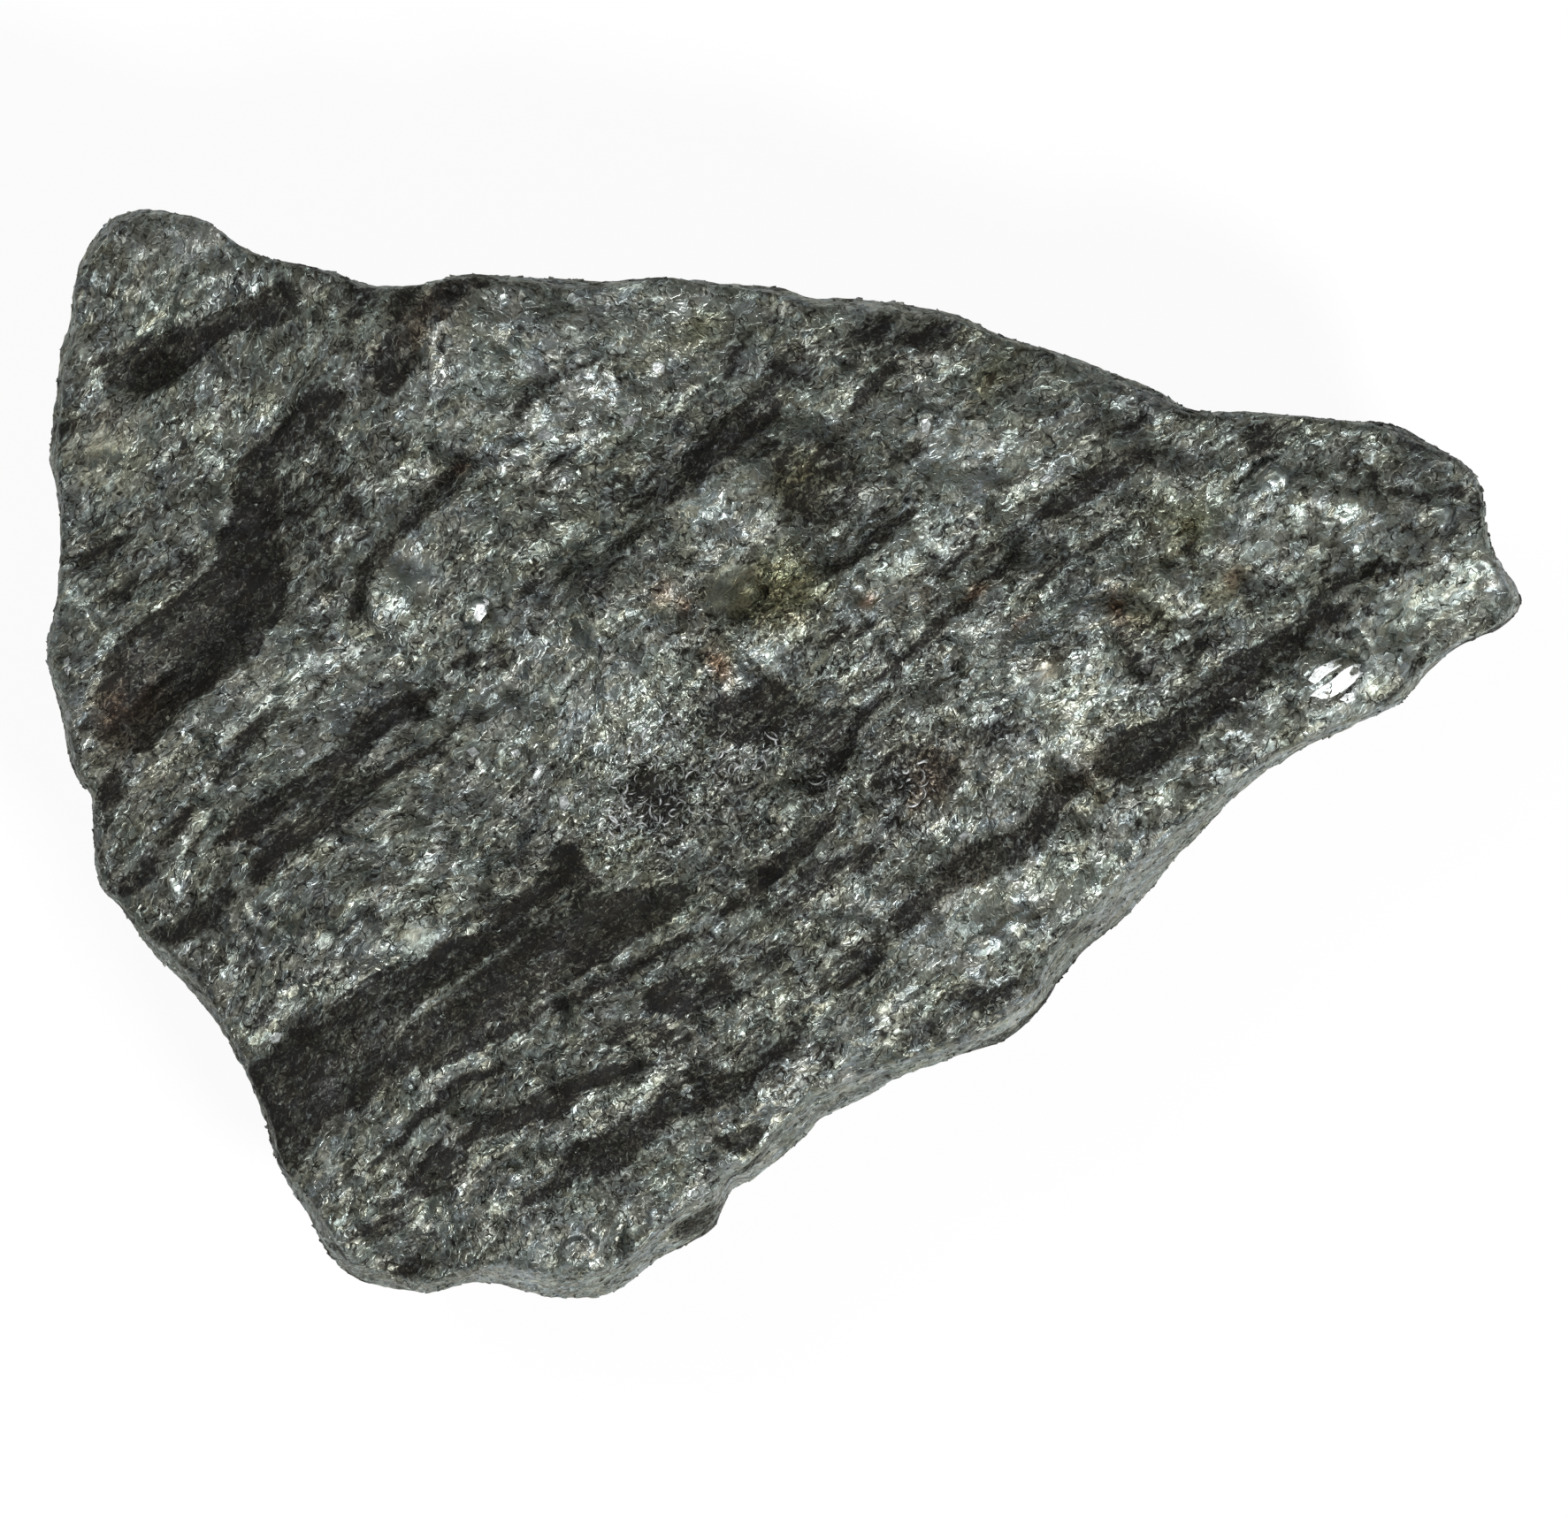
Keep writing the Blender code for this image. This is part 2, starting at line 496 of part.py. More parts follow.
def settle_feet(ring):
    """Brings each foot to the height that the underside has there, so that no sharp lip hangs down."""
    for point in ring:
        point.z = 0.5 * (point.z + under_height(point.x, point.y))


def specimen_mesh():
    """The slab as one closed mesh, in metres, with its box centred over the origin and its base at zero."""
    rings = side_rings(closed_curve(OUTLINE, RING_STEP))
    settle_feet(rings[-1])
    upper_points, upper_faces = upper_sheet(rings[0])
    lower_points, lower_faces = lower_sheet(rings[-1])
    count = len(rings[0])

    mesh = bmesh.new()
    ring_corners = [[mesh.verts.new(p) for p in ring] for ring in rings]
    upper_corners = ring_corners[0] + [mesh.verts.new(p) for p in upper_points]
    lower_corners = ring_corners[-1] + [mesh.verts.new(p) for p in lower_points]
    for above, below in zip(ring_corners, ring_corners[1:]):
        for i in range(count):
            j = (i + 1) % count
            mesh.faces.new((above[i], above[j], below[j]))
            mesh.faces.new((above[i], below[j], below[i]))
    for face in upper_faces:
        mesh.faces.new([upper_corners[i] for i in face])
    for face in lower_faces:
        mesh.faces.new([lower_corners[i] for i in face])
    bmesh.ops.recalc_face_normals(mesh, faces=mesh.faces)

    low = Vector([min(v.co[axis] for v in mesh.verts) for axis in range(3)])
    high = Vector([max(v.co[axis] for v in mesh.verts) for axis in range(3)])
    centre = Vector(((low.x + high.x) / 2.0, (low.y + high.y) / 2.0, low.z))
    for corner in mesh.verts:
        corner.co = (corner.co - centre) * METRES_PER_MM
    return mesh


def ore_material():
    material = bpy.data.materials.new("ore")
    material.use_nodes = True
    shader = material.node_tree.nodes["Principled BSDF"]
    shader.inputs["Base Color"].default_value = ORE_COLOUR
    shader.inputs["Metallic"].default_value = ORE_METALLIC
    shader.inputs["Roughness"].default_value = ORE_ROUGHNESS
    return material


def make_specimen():
    mesh = specimen_mesh()
    data = bpy.data.meshes.new("ore_specimen")
    mesh.to_mesh(data)
    mesh.free()
    data.materials.append(ore_material())
    specimen = bpy.data.objects.new("ore_specimen", data)
    bpy.context.scene.collection.objects.link(specimen)


for leftover in list(bpy.data.objects):
    bpy.data.objects.remove(leftover)
make_specimen()
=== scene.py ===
"""The looks of a banded iron ore specimen, seen from straight above on a pale table.

Lengths are in millimetres, apart from Blender's own, which are in metres. Marks that were read
from the photograph are in photo pixels, and photo_point turns those into millimetres.
"""

import math

import bmesh
import bpy
import numpy as np
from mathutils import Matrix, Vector, noise
from mathutils.bvhtree import BVHTree


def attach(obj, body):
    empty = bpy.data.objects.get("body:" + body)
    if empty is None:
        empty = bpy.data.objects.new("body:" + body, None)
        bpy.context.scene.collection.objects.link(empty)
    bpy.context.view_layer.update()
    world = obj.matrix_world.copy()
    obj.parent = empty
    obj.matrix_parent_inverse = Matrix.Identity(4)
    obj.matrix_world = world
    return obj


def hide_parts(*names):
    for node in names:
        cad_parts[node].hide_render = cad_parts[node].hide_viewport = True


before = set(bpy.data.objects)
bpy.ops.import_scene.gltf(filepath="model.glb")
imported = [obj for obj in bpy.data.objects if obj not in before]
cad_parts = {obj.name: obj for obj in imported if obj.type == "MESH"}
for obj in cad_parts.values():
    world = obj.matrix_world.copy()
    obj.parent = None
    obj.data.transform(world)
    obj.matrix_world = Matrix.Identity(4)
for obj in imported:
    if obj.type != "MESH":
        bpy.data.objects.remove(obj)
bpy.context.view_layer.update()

METRES_PER_MM = 0.001
NODE = "ore_specimen"
BODY = "root"

# the photograph's scale, and the photo pixel that lies over the frame's origin
MM_PER_PIXEL = 0.05
ORIGIN_PIXEL = np.array((887.5, 853.5))
PHOTO_SIZE = (1773, 1717)
OUTLINE_HEIGHT = 10.0  # of the widest line of the slab, on which the scale was read

# the grain of the layers: places with the direction, in degrees, that they run there
GRAIN = [
    (-32.0, 24.0, 27.0), (-31.0, 10.0, 55.0), (-22.0, 13.0, 50.0), (-33.0, -4.0, 42.0), (-22.0, 0.0, 36.0),
    (-6.0, 14.0, 40.0), (12.0, 16.0, 38.0), (11.0, 9.0, 38.0), (26.0, 5.0, 35.0), (14.0, -3.0, 36.0),
    (-6.0, -8.0, 33.0), (-20.0, -14.0, 27.0), (-15.0, -22.0, 28.0), (-2.0, -18.0, 33.0),
]
GRAIN_REACH = 11.0
LAYER_DIP = 0.35  # how far the layers lean with depth, in mm per mm
MAIN_GRAIN = math.radians(36.0)
MID_DEPTH = 15.5  # the height at which the grain lies where it does in the photograph

# the flakes run their own way, steeper than the layers on the left and flatter on the right
FLAKES = [
    (-36.0, 26.0, 80.0), (-36.0, 16.0, 76.0), (-27.0, 20.0, 68.0), (-24.0, 12.0, 76.0), (-36.0, 6.0, 55.0),
    (-27.0, 4.0, 62.0), (-18.0, 7.0, 72.0), (-36.0, -2.0, 60.0), (-29.0, -8.0, 66.0), (-25.0, -16.0, 60.0),
    (-18.0, -22.0, 48.0), (-12.0, 19.0, 60.0), (-10.0, -5.0, 46.0), (-7.0, -14.0, 28.0), (-2.0, -20.0, 30.0),
    (0.0, 20.0, 42.0), (1.0, 8.0, 42.0), (12.0, 17.0, 36.0), (14.0, 6.0, 16.0), (23.0, 11.0, 22.0),
    (24.0, 1.0, 12.0), (34.0, 8.0, 28.0), (33.0, 14.0, 20.0), (12.0, -11.0, 22.0), (4.0, -14.0, 28.0),
]
FLAKES_REACH = 7.0

# dark bands on the broken face: darkness, half width in pixels, and the points in photo pixels
BANDS = [
    (0.55, 8, [(85, 640), (130, 620), (152, 610)]),
    (0.5, 10, [(100, 695), (150, 665), (200, 650), (240, 630)]),
    (1.0, 10, [(528, 522), (502, 556), (470, 590), (440, 618), (422, 645), (412, 672), (402, 700)]),
    (0.5, 9, [(384, 345), (400, 368), (402, 400)]),
    (0.95, 8, [(645, 420), (615, 436), (600, 452), (586, 474)]),
    (0.5, 5, [(720, 404), (680, 408), (645, 420)]),
    (0.7, 13, [(578, 738), (545, 748), (512, 756)]),
    (0.8, 9, [(1430, 728), (1395, 747), (1365, 770), (1332, 792)]),
    (0.7, 8, [(848, 380), (832, 405), (822, 432)]),
    (0.75, 11, [(1012, 410), (990, 438), (966, 468)]),
    (1.0, 9, [(1030, 578), (1012, 594), (990, 614), (962, 634), (930, 652)]),
    (0.8, 3, [(1041, 650), (1070, 652), (1084, 636), (1098, 622), (1103, 603)]),
    (0.7, 3, [(1041, 650), (1047, 674), (1043, 697)]),
    (0.7, 8, [(989, 709), (955, 716), (927, 730)]),
    (0.5, 7, [(1290, 475), (1255, 498), (1230, 508)]),
    (0.4, 12, [(1165, 592), (1120, 630), (1105, 660)]),
    (1.0, 7, [(1098, 675), (1070, 697), (1046, 723), (1028, 740)]),
    (0.8, 6, [(1030, 738), (1008, 756), (984, 772), (955, 790)]),
    (0.6, 7, [(1262, 600), (1236, 618), (1210, 632), (1190, 646), (1168, 668)]),
    (0.8, 9, [(1505, 612), (1498, 635), (1490, 660)]),
    (0.6, 6, [(1652, 655), (1650, 620), (1640, 606), (1600, 601), (1560, 600)]),
    (0.8, 9, [(1600, 644), (1556, 644), (1520, 654), (1495, 668), (1475, 690)]),
    (0.8, 3, [(1540, 693), (1556, 697), (1570, 705)]),
    (0.7, 3, [(1510, 714), (1520, 722), (1527, 735)]),
    (0.6, 14, [(1150, 812), (1120, 828), (1092, 835)]),
    (0.6, 9, [(1258, 685), (1265, 730), (1290, 770)]),
    (1.0, 8, [(1002, 786), (974, 808), (960, 838), (946, 866), (918, 896)]),
    (0.85, 10, [(948, 912), (915, 950), (885, 976), (850, 1002), (815, 1032)]),
    (0.8, 8, [(800, 1050), (768, 1062), (738, 1082), (706, 1098), (660, 1120), (622, 1140)]),
    (0.85, 7, [(578, 1205), (545, 1213), (515, 1227), (498, 1245), (476, 1262), (462, 1281), (440, 1302),
        (422, 1322)]),
    (0.6, 6, [(404, 1318), (392, 1332), (380, 1346)]),
    (0.8, 6, [(476, 1350), (440, 1358), (404, 1366)]),
    (0.6, 7, [(462, 1364), (438, 1374), (412, 1392)]),
    (0.7, 8, [(400, 1400), (440, 1386), (470, 1376)]),
    (0.6, 8, [(512, 1345), (522, 1322), (530, 1296)]),
    (0.6, 9, [(830, 1088), (795, 1096), (765, 1104)]),
    (0.6, 9, [(1400, 850), (1375, 864), (1350, 872)]),
    (0.6, 8, [(320, 1110), (305, 1140), (290, 1170)]),
    (0.5, 8, [(400, 1098), (372, 1104), (352, 1112)]),
    (0.7, 9, [(808, 1306), (804, 1338)]),
    (0.8, 8, [(905, 1282), (880, 1294)]),
    (0.5, 11, [(1192, 1068), (1155, 1088), (1120, 1086)]),
    (0.65, 13, [(1140, 1120), (1108, 1124), (1068, 1122)]),
    (0.6, 9, [(1232, 1045), (1212, 1052), (1190, 1058)]),
    (1.0, 12, [(858, 1278), (838, 1290), (814, 1286)]),
    (1.0, 13, [(818, 1366), (795, 1380), (768, 1392)]),
    (0.7, 12, [(500, 1432), (470, 1428), (448, 1440)]),
    (0.6, 10, [(455, 1368), (440, 1380)]),
    (0.9, 9, [(326, 800), (298, 822), (270, 850), (250, 886)]),
    (0.75, 11, [(218, 912), (204, 938), (180, 966), (165, 990), (140, 1006)]),
    (0.8, 15, [(262, 1000), (246, 1026), (215, 1052), (184, 1058)]),
    (0.6, 14, [(420, 880), (380, 905), (340, 930), (300, 955)]),
    (0.8, 16, [(138, 878), (126, 912)]),
    (0.6, 11, [(940, 1178), (928, 1196)]),
    (0.5, 9, [(1350, 600), (1338, 622), (1345, 640)]),
    (0.5, 9, [(1352, 700), (1350, 735), (1338, 770)]),
    (0.4, 9, [(1540, 530), (1530, 505)]),
]
# dark patches of other shapes: darkness and outline
PATCHES = [
    (0.9, [(115, 405), (150, 392), (200, 376), (245, 358), (290, 338), (320, 312), (345, 330), (345, 362),
        (300, 378), (265, 380), (238, 398), (215, 425), (195, 445), (155, 450), (125, 440)]),
    (0.45, [(340, 305), (400, 312), (440, 330), (446, 360), (432, 400), (420, 440), (400, 400), (395, 350),
        (370, 345)]),
    (0.75, [(440, 330), (470, 322), (500, 312), (545, 312), (575, 325), (540, 332), (520, 345), (512, 365),
        (480, 372), (478, 395), (460, 438), (440, 452), (425, 440), (432, 400), (446, 360)]),
    (0.95, [(395, 450), (375, 438), (352, 442), (330, 468), (312, 492), (288, 508), (272, 530), (270, 570),
        (262, 598), (248, 622), (238, 648), (212, 668), (190, 690), (165, 705), (140, 722), (125, 750),
        (118, 785), (98, 815), (92, 832), (110, 838), (150, 848), (178, 848), (192, 828), (208, 802),
        (232, 790), (252, 772), (268, 757), (300, 740), (308, 715), (328, 695), (328, 660), (318, 622),
        (325, 600), (320, 560), (326, 515), (350, 495), (380, 475)]),
    (0.45, [(380, 470), (350, 495), (325, 515), (315, 560), (320, 600), (340, 616), (378, 618), (404, 602),
        (410, 575), (400, 535), (390, 500)]),
    (0.7, [(320, 600), (300, 620), (305, 660), (325, 690), (332, 650), (328, 620)]),
    (0.9, [(880, 438), (850, 450), (820, 470), (800, 492), (778, 515), (768, 545), (750, 575), (758, 582),
        (776, 562), (792, 548), (812, 530), (832, 510), (852, 497), (880, 482)]),
    (0.35, [(690, 510), (735, 500), (775, 512), (765, 545), (748, 575), (720, 590), (700, 575),
        (680, 540)]),
    (0.5, [(735, 580), (705, 600), (685, 620), (665, 632), (625, 636), (600, 655), (580, 682), (610, 675),
        (650, 655), (680, 690), (692, 650), (712, 620), (740, 600)]),
    (0.75, [(785, 812), (800, 805), (815, 790), (840, 780), (865, 768), (888, 778), (925, 812), (925, 835),
        (900, 848), (862, 838), (845, 848), (820, 840), (800, 830)]),
    (0.6, [(715, 875), (740, 870), (750, 890), (790, 895), (785, 915), (765, 920), (745, 935), (720, 915),
        (698, 905)]),
    (0.9, [(630, 955), (650, 950), (665, 975), (688, 1002), (660, 1008), (625, 1000), (615, 985)]),
    (0.8, [(620, 985), (600, 1000), (570, 1015), (543, 1035), (560, 1044), (590, 1036), (620, 1018),
        (645, 1000)]),
    (0.85, [(298, 1190), (328, 1170), (342, 1150), (366, 1144), (396, 1120), (420, 1105), (452, 1090),
        (482, 1080), (502, 1065), (522, 1058), (556, 1050), (578, 1038), (610, 1026), (650, 1010),
        (700, 1003), (762, 998), (784, 1000), (776, 1018), (762, 1036), (735, 1055), (718, 1066),
        (690, 1084), (665, 1100), (645, 1116), (622, 1130), (612, 1148), (590, 1168), (565, 1178),
        (545, 1188), (520, 1198), (500, 1206), (472, 1204), (455, 1222), (425, 1240), (400, 1252),
        (375, 1265), (355, 1285), (345, 1320), (330, 1340), (310, 1310), (290, 1250), (285, 1215)]),
    (1.0, [(298, 1190), (330, 1168), (345, 1148), (372, 1145), (378, 1180), (372, 1220), (350, 1250),
        (345, 1290), (325, 1310), (300, 1270), (285, 1215)]),
    (0.85, [(500, 785), (480, 778), (440, 792), (405, 805), (395, 840), (360, 862), (330, 888), (300, 905),
        (275, 925), (250, 945), (250, 958), (280, 950), (310, 930), (340, 915), (370, 895), (400, 875),
        (420, 850), (450, 825), (485, 812)]),
    (0.85, [(530, 808), (480, 848), (450, 862), (430, 880), (400, 895), (370, 905), (340, 925), (310, 950),
        (290, 975), (285, 995), (300, 995), (325, 965), (355, 955), (385, 935), (410, 915), (440, 885),
        (480, 862), (520, 825)]),
    (0.85, [(500, 1284), (522, 1298), (516, 1322), (500, 1348), (470, 1352), (455, 1338), (470, 1318),
        (484, 1302)]),
    (0.85, [(735, 1200), (720, 1195), (690, 1205), (660, 1215), (640, 1222), (610, 1232), (590, 1242),
        (565, 1252), (545, 1262), (530, 1275), (515, 1290), (525, 1296), (545, 1290), (560, 1285),
        (590, 1275), (610, 1265), (635, 1258), (650, 1250), (660, 1240), (690, 1225), (720, 1215)]),
    (0.85, [(740, 1250), (720, 1262), (700, 1265), (670, 1280), (645, 1300), (630, 1315), (620, 1335),
        (600, 1345), (592, 1362), (620, 1356), (650, 1340), (660, 1325), (690, 1325), (715, 1315),
        (735, 1290), (760, 1268)]),
    (0.75, [(760, 1205), (800, 1198), (840, 1213), (830, 1240), (800, 1255), (770, 1263), (745, 1268),
        (735, 1250), (745, 1225)]),
    (0.85, [(920, 1148), (895, 1155), (880, 1175), (860, 1190), (842, 1205), (838, 1225), (825, 1245),
        (845, 1235), (865, 1205), (890, 1190), (905, 1170)]),
    (0.8, [(735, 1110), (760, 1105), (790, 1110), (820, 1098), (835, 1118), (800, 1140), (770, 1150),
        (745, 1145), (728, 1135)]),
    (0.55, [(700, 1150), (740, 1150), (780, 1165), (790, 1180), (740, 1190), (700, 1185), (680, 1170)]),
    (0.75, [(1000, 1050), (975, 1062), (955, 1080), (945, 1100), (930, 1122), (965, 1110), (990, 1095),
        (1002, 1078)]),
    (0.5, [(840, 1070), (880, 1058), (900, 1075), (895, 1100), (860, 1105), (835, 1095)]),
    (0.55, [(990, 950), (960, 962), (920, 975), (880, 1000), (860, 1012), (860, 1036), (900, 1028),
        (950, 1000), (992, 982)]),
    (1.0, [(1225, 868), (1200, 880), (1175, 895), (1162, 915), (1150, 935), (1120, 945), (1095, 955),
        (1072, 968), (1060, 985), (1046, 1005), (1020, 1020), (1003, 1035), (1000, 1050), (1015, 1052),
        (1035, 1040), (1052, 1022), (1080, 1005), (1110, 998), (1140, 985), (1165, 965), (1182, 948),
        (1196, 925), (1208, 905), (1226, 888)]),
    (0.95, [(1525, 682), (1500, 683), (1475, 692), (1462, 700), (1445, 715), (1425, 735), (1400, 750),
        (1385, 768), (1360, 790), (1340, 800), (1310, 812), (1280, 822), (1245, 838), (1228, 862),
        (1240, 880), (1290, 876), (1310, 866), (1330, 850), (1350, 838), (1365, 820), (1385, 800),
        (1410, 785), (1430, 765), (1460, 750), (1475, 735), (1480, 715), (1508, 704)]),
    (0.65, [(880, 790), (925, 800), (955, 800), (960, 830), (940, 855), (900, 850), (870, 840)]),
    (0.6, [(1000, 845), (1040, 840), (1075, 850), (1092, 880), (1080, 905), (1040, 902), (1000, 895),
        (975, 890)]),
    (0.6, [(860, 498), (900, 505), (935, 498), (955, 515), (985, 536), (975, 562), (940, 600), (910, 592),
        (888, 570), (865, 558)]),
    (0.65, [(905, 402), (925, 385), (960, 365), (1000, 352), (1012, 370), (995, 395), (950, 400)]),
    (0.6, [(1010, 380), (1050, 366), (1092, 370), (1092, 395), (1040, 402), (1010, 395)]),
    (0.55, [(870, 395), (925, 395), (925, 430), (905, 455), (880, 450), (865, 440)]),
    (0.5, [(1050, 490), (1020, 500), (1000, 520), (990, 550), (1010, 570), (1022, 540), (1042, 520)]),
    (0.8, [(1330, 495), (1300, 503), (1265, 510), (1235, 528), (1215, 546), (1190, 562), (1165, 580),
        (1158, 597), (1190, 592), (1220, 572), (1250, 552), (1280, 542), (1300, 528), (1325, 512)]),
    (0.45, [(1162, 600), (1130, 605), (1108, 625), (1098, 652), (1130, 662), (1150, 642)]),
    (0.65, [(1405, 480), (1440, 482), (1468, 478), (1466, 495), (1440, 510), (1415, 520), (1402, 505)]),
    (0.8, [(1538, 526), (1552, 535), (1558, 550), (1585, 554), (1615, 560), (1640, 552), (1670, 556),
        (1676, 580), (1660, 572), (1640, 560), (1610, 570), (1590, 566), (1560, 562), (1543, 556)]),
    (0.5, [(1640, 722), (1610, 722), (1592, 745), (1588, 762), (1560, 778), (1530, 788), (1535, 802),
        (1562, 796), (1602, 772), (1606, 752), (1618, 738)]),
    (0.5, [(62, 470), (90, 480), (95, 500), (80, 515), (58, 515)]),
    (0.25, [(690, 865), (760, 850), (840, 875), (880, 900), (820, 920), (740, 915), (700, 905)]),
]
# light lines that cross the bands: strength, half width and points
LIGHT_LINES = [
    (0.6, 5, [(442, 1168), (480, 1138), (505, 1118), (532, 1100), (562, 1080), (590, 1064)]),
    (0.5, 9, [(604, 1042), (625, 1030), (650, 1016)]),
    (0.4, 6, [(598, 1146), (620, 1130), (645, 1116), (660, 1108)]),
    (0.5, 6, [(690, 1090), (715, 1070), (745, 1052), (790, 1042)]),
    (0.7, 8, [(426, 1292), (438, 1274), (458, 1260)]),
    (0.6, 6, [(464, 1298), (476, 1284), (492, 1276)]),
    (0.5, 5, [(468, 1246), (490, 1234)]),
    (0.5, 8, [(506, 1258), (550, 1240), (590, 1224)]),
    (0.6, 6, [(600, 1222), (622, 1208), (642, 1192)]),
    (0.6, 8, [(500, 1394), (530, 1378), (560, 1360), (576, 1354)]),
    (0.6, 5, [(632, 1180), (652, 1166)]),
    (0.6, 5, [(404, 1374), (424, 1362)]),
    (0.4, 12, [(600, 1284), (640, 1274), (680, 1262)]),
    (0.7, 6, [(1118, 1170), (1140, 1155), (1156, 1146)]),
    (0.6, 7, [(810, 1346), (840, 1318), (880, 1296), (915, 1272)]),
    (0.5, 4, [(815, 826), (835, 816), (852, 806)]),
    (0.6, 4, [(1430, 752), (1450, 740)]),
    (0.5, 5, [(770, 1232), (785, 1222)]),
]
# light plates: strength and outline
LIGHT_PLATES = [
    (0.6, [(1003, 622), (1030, 604), (1060, 606), (1084, 622), (1072, 645), (1040, 642), (1005, 645)]),
    (0.5, [(952, 652), (985, 648), (1040, 655), (1044, 700), (1010, 708), (965, 700)]),
    (0.6, [(1070, 700), (1100, 694), (1136, 700), (1130, 722), (1090, 728), (1072, 718)]),
    (0.9, [(768, 578), (800, 555), (850, 530), (872, 522), (882, 545), (880, 602), (850, 602), (800, 592),
        (762, 592)]),
    (0.5, [(1150, 800), (1200, 795), (1240, 800), (1242, 832), (1228, 852), (1200, 866), (1150, 876),
        (1110, 882), (1112, 850), (1150, 832)]),
    (1.4, [(1600, 598), (1615, 582), (1640, 571), (1656, 580), (1650, 593), (1625, 597)]),
    (1.0, [(1655, 605), (1675, 600), (1700, 640), (1715, 675), (1700, 692), (1670, 700), (1655, 660)]),
    (1.0, [(1525, 712), (1545, 715), (1600, 745), (1585, 770), (1560, 782), (1535, 788), (1540, 760),
        (1525, 740)]),
    (0.9, [(1396, 596), (1420, 592), (1450, 600), (1450, 625), (1420, 640), (1400, 632)]),
    (0.8, [(1305, 650), (1325, 640), (1348, 655), (1352, 690), (1325, 695), (1308, 680)]),
    (1.3, [(1546, 694), (1556, 680), (1575, 668), (1598, 662), (1602, 672), (1590, 684), (1570, 694)]),
    (1.2, [(1606, 690), (1612, 668), (1630, 660), (1652, 665), (1654, 690), (1640, 706), (1615, 706)]),
    (0.9, [(1530, 715), (1545, 700), (1575, 700), (1600, 710), (1600, 740), (1570, 760), (1545, 765),
        (1530, 745)]),
    (0.9, [(1655, 600), (1672, 605), (1690, 640), (1680, 655), (1655, 640)]),
    (1.2, [(1418, 535), (1440, 527), (1455, 530), (1455, 545), (1440, 560), (1422, 562)]),
    (0.8, [(1490, 572), (1515, 560), (1540, 565), (1550, 580), (1540, 598), (1500, 602), (1488, 590)]),
    (0.6, [(1456, 560), (1480, 556), (1485, 580), (1470, 598), (1456, 590)]),
    (1.1, [(856, 740), (868, 728), (885, 735), (888, 755), (868, 762)]),
    (1.0, [(432, 640), (450, 618), (480, 616), (500, 640), (490, 660), (455, 664), (436, 660)]),
    (1.1, [(955, 1005), (975, 1000), (990, 1010), (988, 1026), (965, 1024)]),
    (1.1, [(1096, 1072), (1108, 1060), (1128, 1062), (1130, 1074), (1116, 1084), (1102, 1082)]),
    (0.8, [(1210, 740), (1240, 728), (1262, 740), (1278, 780), (1250, 800), (1205, 795)]),
    (0.3, [(665, 1235), (690, 1222), (722, 1215), (722, 1245), (690, 1252), (665, 1250)]),
    (0.6, [(790, 1062), (800, 1048), (845, 1024), (855, 1030), (830, 1052), (800, 1066)]),
    (1.2, [(355, 1342), (362, 1328), (375, 1312), (388, 1304), (393, 1310), (384, 1326), (372, 1338)]),
    (1.0, [(808, 1146), (834, 1138), (850, 1148), (846, 1164), (816, 1166)]),
    (0.8, [(1138, 1150), (1165, 1120), (1190, 1112), (1188, 1135), (1160, 1160), (1140, 1168)]),
    (0.8, [(688, 1090), (698, 1076), (716, 1068), (714, 1080), (698, 1094)]),
    (0.6, [(1040, 482), (1100, 470), (1160, 500), (1200, 540), (1180, 560), (1120, 570), (1060, 560),
        (1040, 520)]),
    (0.4, [(700, 345), (760, 325), (850, 328), (872, 345), (830, 372), (800, 400), (740, 410), (700, 400)]),
    (0.6, [(600, 470), (660, 430), (730, 440), (730, 480), (700, 495), (640, 510), (600, 505)]),
    (0.6, [(1160, 990), (1240, 980), (1250, 1010), (1200, 1030), (1150, 1030), (1140, 1005)]),
    (0.4, [(1350, 835), (1370, 815), (1420, 800), (1450, 800), (1440, 830), (1400, 850), (1360, 850)]),
    (0.6, [(1470, 830), (1500, 800), (1540, 800), (1520, 818), (1480, 840)]),
    (0.7, [(930, 900), (935, 885), (955, 885), (950, 905)]),
    (0.8, [(810, 1150), (820, 1140), (850, 1132), (845, 1150), (822, 1162)]),
    (0.3, [(860, 1130), (880, 1120), (905, 1135), (890, 1148)]),
    (0.7, [(1075, 950), (1090, 935), (1140, 918), (1155, 922), (1120, 942), (1085, 955)]),
]
